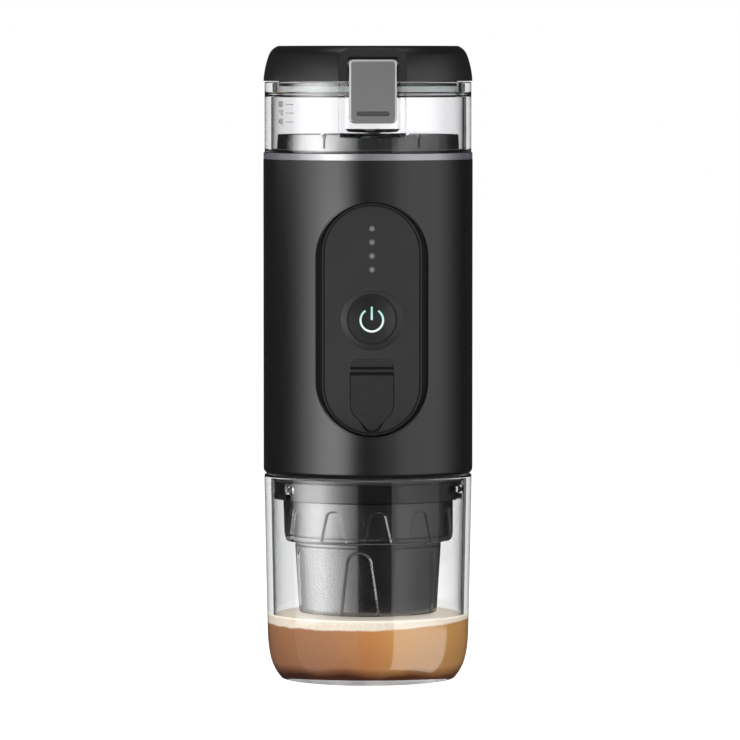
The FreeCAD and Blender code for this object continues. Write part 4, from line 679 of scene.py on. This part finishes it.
panel_face = moulded("panel_satin_black", (0.014, 0.014, 0.015), 0.42, 2600, 0.000003)
at = own_axes(panel_face)
button_height = 0.1319
reach = distance(at["X"], reckon("SUBTRACT", at["Z"], button_height))
# Painted shade: the sunk rim groove and port pocket, but not the button's cone, are painted nearly black and
# made duller.
sunk = spread(at["Y"], -0.03292, -0.0326)
painted_recess_shade = times(sunk, reckon("GREATER_THAN", reach, 0.0112))
dull = times(painted_recess_shade, 0.35)
feed(panel_face, Base_Color=mix(painted_recess_shade, fed_by(panel_face, "Base_Color"), (0.002, 0.002, 0.0022)),
     Roughness=reckon("ADD", fed_by(panel_face, "Roughness"), dull))
swell = bump(spread(reach, 0.009, 0.0111, 1, 0), 0.0016)
panel_face.node_tree.links.new(swell, fed_by(panel_face, "Normal").node.inputs["Normal"])
dress(panel_face, "control_panel")
dress(moulded("bezel_black", (0.005, 0.005, 0.006), 0.35), "panel_bezel")


# Four light pipes of smoky clear plastic that carry the charge lights to the panel's face, each
# frosted, with a paler middle over its light.

pipe = finish("light_pipe_smoke", (0.26, 0.26, 0.26), 0.3)
at = own_axes(pipe)
lowest_light, light_pitch = 0.1497, 0.0049
count = reckon("DIVIDE", reckon("SUBTRACT", at["Z"], lowest_light), light_pitch)
miss = reckon("SUBTRACT", count, reckon("ROUND", count))
reach = distance(at["X"], times(miss, light_pitch))
feed(pipe, Base_Color=mix(spread(reach, 0.0003, 0.001, 1, 0),
                          (0.06, 0.06, 0.06), (0.15, 0.15, 0.15)))
vary_gloss(pipe, 1500, 0.25, 0.4)
raise_grain(pipe, 5000, 0.000003)
dress(pipe, "led_light_pipes")


# The power button: a dished satin cap with the power sign let into it, lit pale green-blue from
# behind and brighter towards its foot, and the plunger that presses the switch.

dress(moulded("button_satin_black", (0.0045, 0.0045, 0.005), 0.42, 2600, 0.000003), "power_button")
sign = finish("power_sign_lit", (0.1, 0.14, 0.13), 0.4, Emission_Strength=0.9)
rise = spread(own_axes(sign)["Z"], 0.127, 0.1375)
feed(sign, Emission_Color=mix(rise, (0.92, 1, 0.98), (0.13, 0.58, 0.5)))
vary_colour(sign, 700, (0.08, 0.12, 0.11), (0.12, 0.16, 0.15))
vary_gloss(sign, 900, 0.3, 0.42)
raise_grain(sign, 3000, 0.000002)


def sign_stroke(path, half_width=0.36, dish_radius=39.65, dish_floor=-31.3, dish_middle=131.9, middle=131.6):
    """A stroke of the sign on the dish: half_width either side of a path of (x, z) points,
    narrowing to a half circle at each end; y is the dish's sphere at that point, and the back
    lies 0.15 mm deeper."""
    run = np.gradient(path, axis=0)
    run /= np.hypot(run[:, 0], run[:, 1])[:, None]
    side = np.stack([run[:, 1], -run[:, 0]], -1)
    length = np.r_[0, np.cumsum(np.hypot(*np.diff(path, axis=0).T))]
    end = np.minimum(length, length[-1] - length)
    width = half_width * np.sqrt(np.clip(1 - (1 - np.minimum(end / half_width, 1)) ** 2, 0, 1))
    across = np.linspace(-1, 1, 7)[None, :, None]
    flat = path[:, None] + side[:, None] * width[:, None, None] * across
    x, z = flat[..., 0], flat[..., 1] + middle
    dish = dish_floor - (dish_radius - np.sqrt(dish_radius ** 2 - (x ** 2 + (z - dish_middle) ** 2)))
    front = np.stack([x, dish - 0.05 * (1 - across[..., 0] ** 2), z], -1)
    back = np.stack([x, dish + 0.15, z], -1)[:, ::-1]
    return skin(np.concatenate([front, back], 1))


round_path = np.radians(np.r_[33, 33.5, 34, 35, 36.5, 39, np.linspace(41, 319, 90),
                              321, 323.5, 325, 326, 326.5, 327])
bar_path = np.r_[0, 0.02, 0.07, 0.15, 0.25, np.linspace(0.4, 4.5, 16), 4.65, 4.75, 4.83, 4.88, 4.9]
make_piece("power_sign", [sign_stroke(4.05 * np.stack([np.sin(round_path), np.cos(round_path)], -1)),
                          sign_stroke(upright(0, bar_path))],
           sign, "power_button", "symbol_white", "power_symbol")
dress(moulded("plunger_plastic", (0.05, 0.05, 0.052), 0.45), "switch_plunger")


# The port cover: one moulding of soft rubber, its strap fixed above and its flap hinged by a
# thin web, with a rounded tongue for a fingernail over the notch in the panel.

cover_rubber = rubber("port_cover_rubber", (0.0065, 0.0065, 0.007), 0.55)
height = own_axes(cover_rubber)["Z"]
# Painted shade: two narrow bands across the strap are painted nearly black and fully rough.
for shaded_crease, half in ((0.11448, 0.0005), (0.11248, 0.00062)):
    along = reckon("COMPARE", height, shaded_crease, half)
    feed(cover_rubber,
         Base_Color=mix(along, fed_by(cover_rubber, "Base_Color"), (0.0012, 0.0012, 0.0012)),
         Roughness=mix(along, fed_by(cover_rubber, "Roughness"), (1, 1, 1)))
dress(cover_rubber, "usb_cover", "usb_cover_strap")


# The main board behind the panel: green lacquer over a grid of copper tracks, tinned pads, black
# parts with a fine epoxy speckle, and the steel shell of the charging socket.

def stripes(value, scale, width):
    """One where a value falls within a repeated narrow stripe, zero between the stripes."""
    saw = reckon("FRACT", times(value, scale))
    return reckon("LESS_THAN", saw, width)


board = finish("board_green_lacquer", (0.015, 0.13, 0.05), 0.3)
at = own_axes(board)
patch = cells(board, 130, distance="CHEBYCHEV")["Color"]
shade = add_node("SeparateColor", {"Color": patch})[0]
track = mix(reckon("GREATER_THAN", shade, 0.5),
            stripes(at["X"], 700, 0.32), stripes(at["Z"], 700, 0.32))
lacquer = mix(track, (0.01, 0.095, 0.038), (0.03, 0.2, 0.075))
pad = reckon("LESS_THAN", cells(board, 260)["Distance"], 0.16)
feed(board, Base_Color=mix(pad, lacquer, (0.55, 0.55, 0.5)))
vary_gloss(board, 700, 0.25, 0.36)
raise_grain(board, track, 0.00002)
dress(board, "main_board")
dress(moulded("chip_epoxy", (0.028, 0.028, 0.029), 0.5, 3200, 0.000006), "board_components", "tact_switch")
dress(drawn_metal("socket_steel", (0.6, 0.6, 0.6), 0.3, (0.04, 1, 1)), "usb_socket")


# The battery pack: three round cells in a moulded tray, shrink-wrapped in blue film that puckers
# at its ends, joined by spot-welded nickel strips and held down by a clamp.

dress(deck_plastic, "battery_tray", "battery_clamp")
film_blue = (0.03, 0.12, 0.3)
wrap = finish("cell_shrink_wrap", film_blue, 0.25)
lowest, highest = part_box("battery_cells")
feed(wrap, Base_Color=colour_ramp(spread(own_axes(wrap)["Z"], lowest[2], highest[2]), [
    (0, (0.6, 0.6, 0.58)), (0.012, film_blue), (0.955, (0.78, 0.78, 0.75)), (0.985, (0.62, 0.62, 0.6))],
    "CONSTANT"))
vary_gloss(wrap, 200, 0.2, 0.34)
raise_grain(wrap, (260, 3, (1, 1, 0.25)), 0.00004)
dress(wrap, "battery_cells")
nickel = drawn_metal("nickel_strip", (0.62, 0.6, 0.55), 0.3, (0.05, 1, 1))
raise_grain(nickel, spread(cells(nickel, 300)["Distance"], 0.1, 0.25), 0.00006)
dress(nickel, "nickel_strips")


# The vibration pump: a copper coil wound round a brass tube between the steel yoke's plates, hung
# in a black rubber mount, with its polished piston, springs, check ball and outlet.

winding = finish("coil_copper_wire", (0.5, 0.17, 0.06), 0.3, Metallic=1)
wires = reckon("SINE", times(own_axes(winding)["Z"], 12000))
band = spread(wires, -1, 1, *noise_range)
vary_colour(winding, band, (0.22, 0.07, 0.025), (0.6, 0.22, 0.08))
vary_gloss(winding, 400, 0.24, 0.38)
raise_grain(winding, band, 0.00016)
dress(winding, "pump_coil")
brass = drawn_metal("core_tube_brass", (0.7, 0.5, 0.2), 0.28)
vary_colour(brass, (70, 4), (0.5, 0.33, 0.12), (0.8, 0.62, 0.28))
dress(brass, "pump_core_tube")
yoke = drawn_metal("yoke_zinc_plate", (0.6, 0.6, 0.56), 0.36, (0.05, 1, 1))
vary_colour(yoke, (60, 3), (0.52, 0.53, 0.56), (0.68, 0.66, 0.55))
dress(yoke, "pump_yoke")
dress(rubber("pump_mount_rubber", (0.02, 0.02, 0.021)), "pump_mount")
dress(turned_metal("piston_polished_steel", (0.62, 0.61, 0.59), 0.15, 2600), "pump_piston")
spring_wire = drawn_metal("spring_wire", (0.55, 0.54, 0.52), 0.22, (0.3, 0.3, 1))
dress(spring_wire, "check_spring")
dress(turned_metal("ball_polished_steel", (0.68, 0.67, 0.66), 0.08), "check_ball")
dress(moulded("pump_outlet_plastic", (0.03, 0.03, 0.031), 0.42), "pump_outlet")


def coil_of_wire(corners, wire=0.35, turns=7, per_turn=36, around=12):
    """A compression spring in its box: the centre of the wire runs round the pump's axis and
    climbs evenly, and each row is a circle of the wire's radius in the plane of the axis."""
    (left, near, low), (right, far, high) = np.array(corners) * 1000
    climb = np.linspace(0, 1, turns * per_turn + 1)
    climb = np.r_[climb[:1], climb, climb[-1:]]
    radius = np.full((len(climb), 1), wire)
    radius[[0, -1]] = 0
    turn = 2 * np.pi * turns * climb[:, None]
    round_wire = 2 * np.pi * np.arange(around) / around
    reach = (right - left) / 2 - wire + radius * np.cos(round_wire)
    height = low + wire + (high - low - 2 * wire) * climb[:, None] + radius * np.sin(round_wire)
    return skin(np.stack([(left + right) / 2 + reach * np.cos(turn),
                          (near + far) / 2 + reach * np.sin(turn), height], -1))


spring_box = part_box("piston_spring")
piston_coil = make_piece("piston_coil_spring", [coil_of_wire(spring_box)], spring_wire, None, "steel",
                         "piston_spring")
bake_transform(piston_coil)


# The water hoses of milky silicone, and the wiring: PVC leads, red on the left, white in the
# middle and black on the right, with a slight gloss.

dress(silicone("hose_silicone", (0.74, 0.74, 0.71)), "outlet_hose", "inlet_hose")
leads = finish("lead_pvc", (0.4, 0.05, 0.04), 0.4)
feed(leads, Base_Color=colour_ramp(spread(own_axes(leads)["X"], -0.03, 0.03), [
    (0, (0.42, 0.02, 0.02)), (0.42, (0.7, 0.7, 0.68)), (0.62, (0.02, 0.02, 0.02))], "CONSTANT"))
vary_gloss(leads, 500, 0.33, 0.48)
raise_grain(leads, 1500, 0.000008)
dress(leads, "wire_leads")


# The water tank: a clear moulded tumbler on the body's top, with a thick flange, a band inside
# its mouth for the lid's plug, the latch's pad in front and the hinge's ears at the back.

tank_wall = 37.5


def pad_reach(angle, front, face, bevel):
    """How far a flat pad in front reaches from the axis at each angle: to its front face, to the
    bevel at 45 degrees, or to its side, whichever is nearest."""
    ahead = np.clip(np.cos(angle), 0.2, 1)
    aside = np.abs(np.sin(angle)) + 1e-6
    reach = np.minimum(np.minimum(front / ahead, (face + front) / (aside + ahead)), (face + bevel) / aside)
    return np.where(np.cos(angle) > 0.2, reach, 0)


fine = np.r_[np.arange(12.2, 19.6, 0.13), 0.4]
tank_columns = np.sort(np.r_[np.arange(-180, 180, 1.5), fine, -fine])
wall_rows = np.r_[np.arange(192, 197), np.arange(196.6, 200.7, 0.2), np.linspace(201, 215.4, 13)]
tank_profile = np.r_[
    rounded([(27.2, 189.5), (27.2, 188.7, 0.2), (37.7, 188.7, 0.2), (37.7, 191.2, 0.2),
             (tank_wall, 191.3)], steps=3),
    upright(tank_wall, wall_rows),
    rounded([(tank_wall, 215.7), (tank_wall, 216.7, 0.5), (33.2, 216.7, 0.5), (33.2, 213.2)]),
    upright(33.85 + 0.65 * np.sin(np.linspace(-80, 80, 13) * np.pi / 180), np.linspace(212.9, 211.5, 13)),
    rounded([(34.5, 211.2), (34.5, 191.2, 1.2), (27.2, 191.2, 0.3), (27.2, 190.4)])]
tank_points = lathe(tank_profile, tank_columns)
turn = np.radians(tank_columns)[None]
reach, level = tank_profile[:, :1], tank_profile[:, 1:]
grown = np.full((len(tank_profile), len(tank_columns)), tank_wall)
pad_foot = 197
for front, face, bevel, slope in ((38.9, 11.5, 0.5, 1.5), (40, 8.75, 1.1, 3.1)):
    rise = np.clip((level - pad_foot) / slope, 0, 1)
    rise -= 0.03 * np.sin(2 * np.pi * rise)
    grown = np.maximum(grown, tank_wall + (pad_reach(turn, front, face, bevel) - tank_wall) * rise)
outer = (reach > 36.9) & (level > 191.4)
tank_points[..., :2] *= np.where(outer, (grown - tank_wall + reach) / reach, 1)[..., None]


def tank_ear(start, middle=(41, 217), hole=1.05, wide=3, chamfer=0.1):
    """One hinge ear: a flat loop in (y, z), drawn out along X, with the pin's hole."""
    turns = np.radians(np.linspace(-28, 178, 22))
    loop = np.r_[
        [(36.5, 216.7), (36.5, 212.5), (36.5, 208.3), (37.5, 208.3), (39.3, 210.7), (41.1, 213.1),
         (42.9, 215.5)],
        np.array(middle) + 2.4 * np.stack([np.cos(turns), np.sin(turns)], -1)]
    out = loop - middle
    bore = middle + hole * out / np.hypot(*out.T)[:, None]
    face = middle + out * 0.97
    loops = [(start, bore), (start, face), (start + chamfer, loop), (start + wide - chamfer, loop),
             (start + wide, face), (start + wide, bore)]
    return skin(np.stack([np.concatenate([np.full((len(ring), 1), x), ring], 1) for x, ring in loops]),
                close_rows=True)


boss_ring = 31
boss = lathe([(0, 188.75), (2.4, 188.75), (2.4, 185.8), (2.3, 185.7), (1, 185.7), (1, 187.7),
              (0, 187.7)], 32)
bosses = [skin(boss + middle) for middle in lathe([(boss_ring, 0)], np.array([45, 135, 225, 315]))[0]]
tank_clear = clear_plastic("tank_clear_plastic", (0.975, 0.975, 0.985), 0.1887)
make_piece("tank_shell", [skin(tank_points, close_rows=True), tank_ear(6), tank_ear(-9), *bosses],
           tank_clear, "main_body", "clear_plastic", "water_tank")
dress(rubber("tank_gasket_rubber", (0.03, 0.03, 0.03)), "tank_gasket")


# The trim band: a thin strip of dark polished steel pressed round the tank's flange, which hides
# the joint under it.

trim_dark = finish("trim_dark_polish", (0.1, 0.1, 0.115), 0.18, IOR=2.7)
vary_colour(trim_dark, 60, (0.09, 0.09, 0.103), (0.11, 0.11, 0.127))
vary_gloss(trim_dark, (300, 2, (1, 1, 0.2)), 0.17, 0.23)
raise_grain(trim_dark, (2200, 4, (0.05, 0.05, 1)), 0.0000015)
band_profile = rounded([(37.71, 188.75), (37.92, 188.75, 0.08), (37.92, 191.15, 0.08),
                        (37.71, 191.15)], steps=3, closed=True)
make_piece("tank_foot_band", [skin(lathe(band_profile, 240), close_rows=True)],
           trim_dark, "main_body", "steel")


# The tank's scale, screen-printed on the outside in pale grey: a short dash and a number at each
# of three levels.

ink = finish("scale_ink", (0.14, 0.14, 0.14), 0.5)
vary_colour(ink, (2500, 4), (0.11, 0.11, 0.11), (0.18, 0.18, 0.18))
vary_gloss(ink, 900, 0.42, 0.6)
raise_grain(ink, 3000, 0.000003)


def wrap_on_tank(flat, middle, height):
    """Flat (x, z) print laid on the tank: x runs along the wall as an arc, so the angle is the
    middle's angle plus x over the wall's radius, 0.03 mm proud of it."""
    radius = tank_wall + 0.03
    angle = math.radians(middle) + flat[:, 0] / radius
    return np.stack([radius * np.sin(angle), -radius * np.cos(angle), height + flat[:, 1]], -1) * 0.001


along = np.linspace(-2.1, 2.1, 9)
dash, dash_faces = skin(np.stack([np.stack([along, 0 * along + side], -1) for side in (-0.12, 0.12)]),
                        close_columns=False)
for number, height in ((80, 208.7), (60, 205.6), (40, 202.4)):
    writing = bpy.data.curves.new("scale_number", "FONT")
    writing.body = str(number)
    writing.size = 2.8
    writing.offset = 0.11
    writing.align_x = writing.align_y = "CENTER"
    letters = bpy.data.meshes.new_from_object(bpy.data.objects.new("scale_number", writing))
    flat = np.empty(len(letters.vertices) * 3)
    letters.vertices.foreach_get("co", flat)
    digits = wrap_on_tank(flat.reshape(-1, 3)[:, :2], -59.2, height)
    faces = [list(face.vertices) for face in letters.polygons]
    mark = put_mesh(f"tank_scale_{number}", np.r_[digits, wrap_on_tank(dash, -51, height)],
                    faces + (np.array(dash_faces) + len(digits)).tolist(), ink)
    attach(mark, "main_body")


# The heater under the tank's floor: a pressed steel dish, the amber polyimide film with its
# meandering foil, the temperature sensor's epoxy bead, and the woven inlet screen.

dress(turned_metal("heater_dish_steel", (0.55, 0.54, 0.52), 0.25), "heater_plate")
film = finish("heater_polyimide", (0.5, 0.22, 0.03), 0.25)
at = own_axes(film)
foil = stripes(distance(at["X"], at["Y"]), 450, 0.55)
feed(film, Base_Color=mix(foil, (0.42, 0.17, 0.02), (0.62, 0.36, 0.12)))
vary_gloss(film, 300, 0.2, 0.32)
raise_grain(film, foil, 0.00002)
dress(film, "film_heater")
dress(moulded("sensor_epoxy", (0.03, 0.03, 0.032), 0.35), "temp_sensor")
screen = finish("inlet_woven_steel", (0.55, 0.55, 0.53), 0.3, Metallic=1)
at = own_axes(screen)
wires = reckon("MAXIMUM", stripes(at["X"], 2500, 0.45), stripes(at["Y"], 2500, 0.45))
feed(screen, Base_Color=mix(wires, (0.05, 0.05, 0.05), (0.6, 0.6, 0.58)))
vary_gloss(screen, 800, 0.25, 0.4)
raise_grain(screen, wires, 0.00008)
dress(screen, "inlet_screen")


# The guard ring that stands in the tank round the heater: polished stainless strip, slotted for
# the water, with fine rolling lines round it.

dress(drawn_metal("guard_polished_steel", (0.3, 0.3, 0.3), 0.18, (0.05, 0.05, 1)), "guard_ring")


# The lid: a satin black moulded dome with a boss round the latch's opening, its grey liner that
# plugs the tank, a silicone seal and vent valve, and the steel pin at the back.

dress(moulded("lid_satin_black", (0.008, 0.008, 0.0085), 0.36, 2400, 0.000003), "lid_shell")
dress(moulded("liner_gloss_grey", (0.03, 0.03, 0.031), 0.15, IOR=2.2), "lid_liner")
dress(silicone("lid_silicone", (0.66, 0.66, 0.64)), "lid_seal", "vent_valve")
dress(drawn_metal("pin_steel", (0.58, 0.57, 0.55), 0.22, (0.04, 1, 1)), "hinge_pin", "latch_pin")


# The latch: a grey satin plate on its pin in the lid's boss, with a slot for a fingernail near
# its foot and a nib behind that snaps under the tank's pad. Its bevelled edge is painted paler, a
# painted highlight, and the deep part of its slot is painted dark, a painted shade.

latch_grey = moulded("latch_satin_grey", (0.112, 0.112, 0.114), 0.34, 2400, 0.000003)
at = own_axes(latch_grey)
in_row = times(reckon("COMPARE", at["Z"], 0.2055, 0.0013),
                reckon("COMPARE", at["X"], 0, 0.0066))
# Painted shade: the deepest part of the slot is painted dark grey.
in_slot = times(in_row, spread(at["Y"], -0.0415, -0.04125))
# Painted highlight: the bevelled rim, except its lowest part and the slot's row, is painted paler grey.
rim = spread(at["Y"], -0.0416, -0.04155, 0, 0.9)
edged = times(rim, reckon("GREATER_THAN", at["Z"], 0.2029))
painted_edge_highlight = reckon("SUBTRACT", edged, in_row)
pale = mix(painted_edge_highlight, fed_by(latch_grey, "Base_Color"), (0.42, 0.42, 0.43))
feed(latch_grey, Base_Color=mix(in_slot, pale, (0.05, 0.05, 0.051)))
plate_half, plate_low, plate_high = 8.525, 202, 224.8


def latch_plate(front=-41.6, back=-40.5, bevel=0.85, slot_height=205.5, nib_height=204.625):
    """The plate as rows over z of closed loops over x, front then back. With d the distance
    inside its round-cornered outline, the front face lies a quarter circle of the bevel's radius
    back where d is less than that; the slot is a smooth dent and the nib a low step behind."""
    edge = np.array([0, 0.02, 0.06, 0.12, 0.2, 0.3, 0.42, 0.56, 0.7, 0.86, 1.3, 1.9])
    z = np.unique(np.r_[
        plate_low + edge, plate_high - edge, np.linspace(plate_low + edge[-1], plate_high - edge[-1], 20),
        np.arange(slot_height - 2, slot_height + 1.5, 0.1)])[:, None]
    middle = (plate_low + plate_high) / 2
    radius = np.where(z > middle, 1.6, 2)
    gap = np.maximum(np.maximum(plate_low + radius - z, z - plate_high + radius), 0)
    width = plate_half - radius + np.sqrt(np.maximum(radius ** 2 - gap ** 2, 0))
    x = np.concatenate([-(width - edge), (width - edge[-1]) * np.linspace(-1, 1, 42)[1:-1],
                        (width - edge)[:, ::-1]], 1)
    side = np.abs(x) - (plate_half - radius)
    end = np.abs(z - middle) - ((plate_high - plate_low) / 2 - radius)
    inside = (radius - np.hypot(np.maximum(side, 0), np.maximum(end, 0))
              - np.minimum(np.maximum(side, end), 0))
    lack = np.clip(bevel - inside, 0, bevel)
    face = front + bevel - np.sqrt(bevel ** 2 - lack ** 2)
    in_slot = 0.85 - np.hypot(np.maximum(np.abs(x) - 5, 0), z - slot_height)
    dent = np.clip((in_slot + 0.05) / 0.3, 0, 1)
    face += 0.5 * dent * dent * (3 - 2 * dent)
    nib = np.clip(np.minimum(5.9 - np.abs(x), 0.875 - np.abs(z - nib_height)) / 0.1, 0, 1)
    rear = back + 0.2 * nib
    z = z + 0 * x
    loops = np.concatenate([np.stack([x, face, z], -1), np.stack([x, rear, z], -1)[:, ::-1]], 1)
    caps = loops[[0, -1]].copy()
    caps[..., 1] = (front + back) / 2 + 0.2
    return skin(np.r_[caps[:1], loops, caps[1:]])


turns = np.linspace(0, 2 * np.pi, 49)[:-1]
side = np.array([-plate_half, -plate_half, 0.1 - plate_half, plate_half - 0.1, plate_half,
                 plate_half])[:, None]
radius = np.array([0.95, 1.5, 1.6, 1.6, 1.5, 0.95])[:, None]
barrel = np.stack([side + 0 * turns, -39.6 + radius * np.cos(turns), 223.2 + radius * np.sin(turns)], -1)
make_piece("latch_plate", [latch_plate(), skin(barrel, close_rows=True)],
           latch_grey, "latch", "latch_grey", "latch_clip")
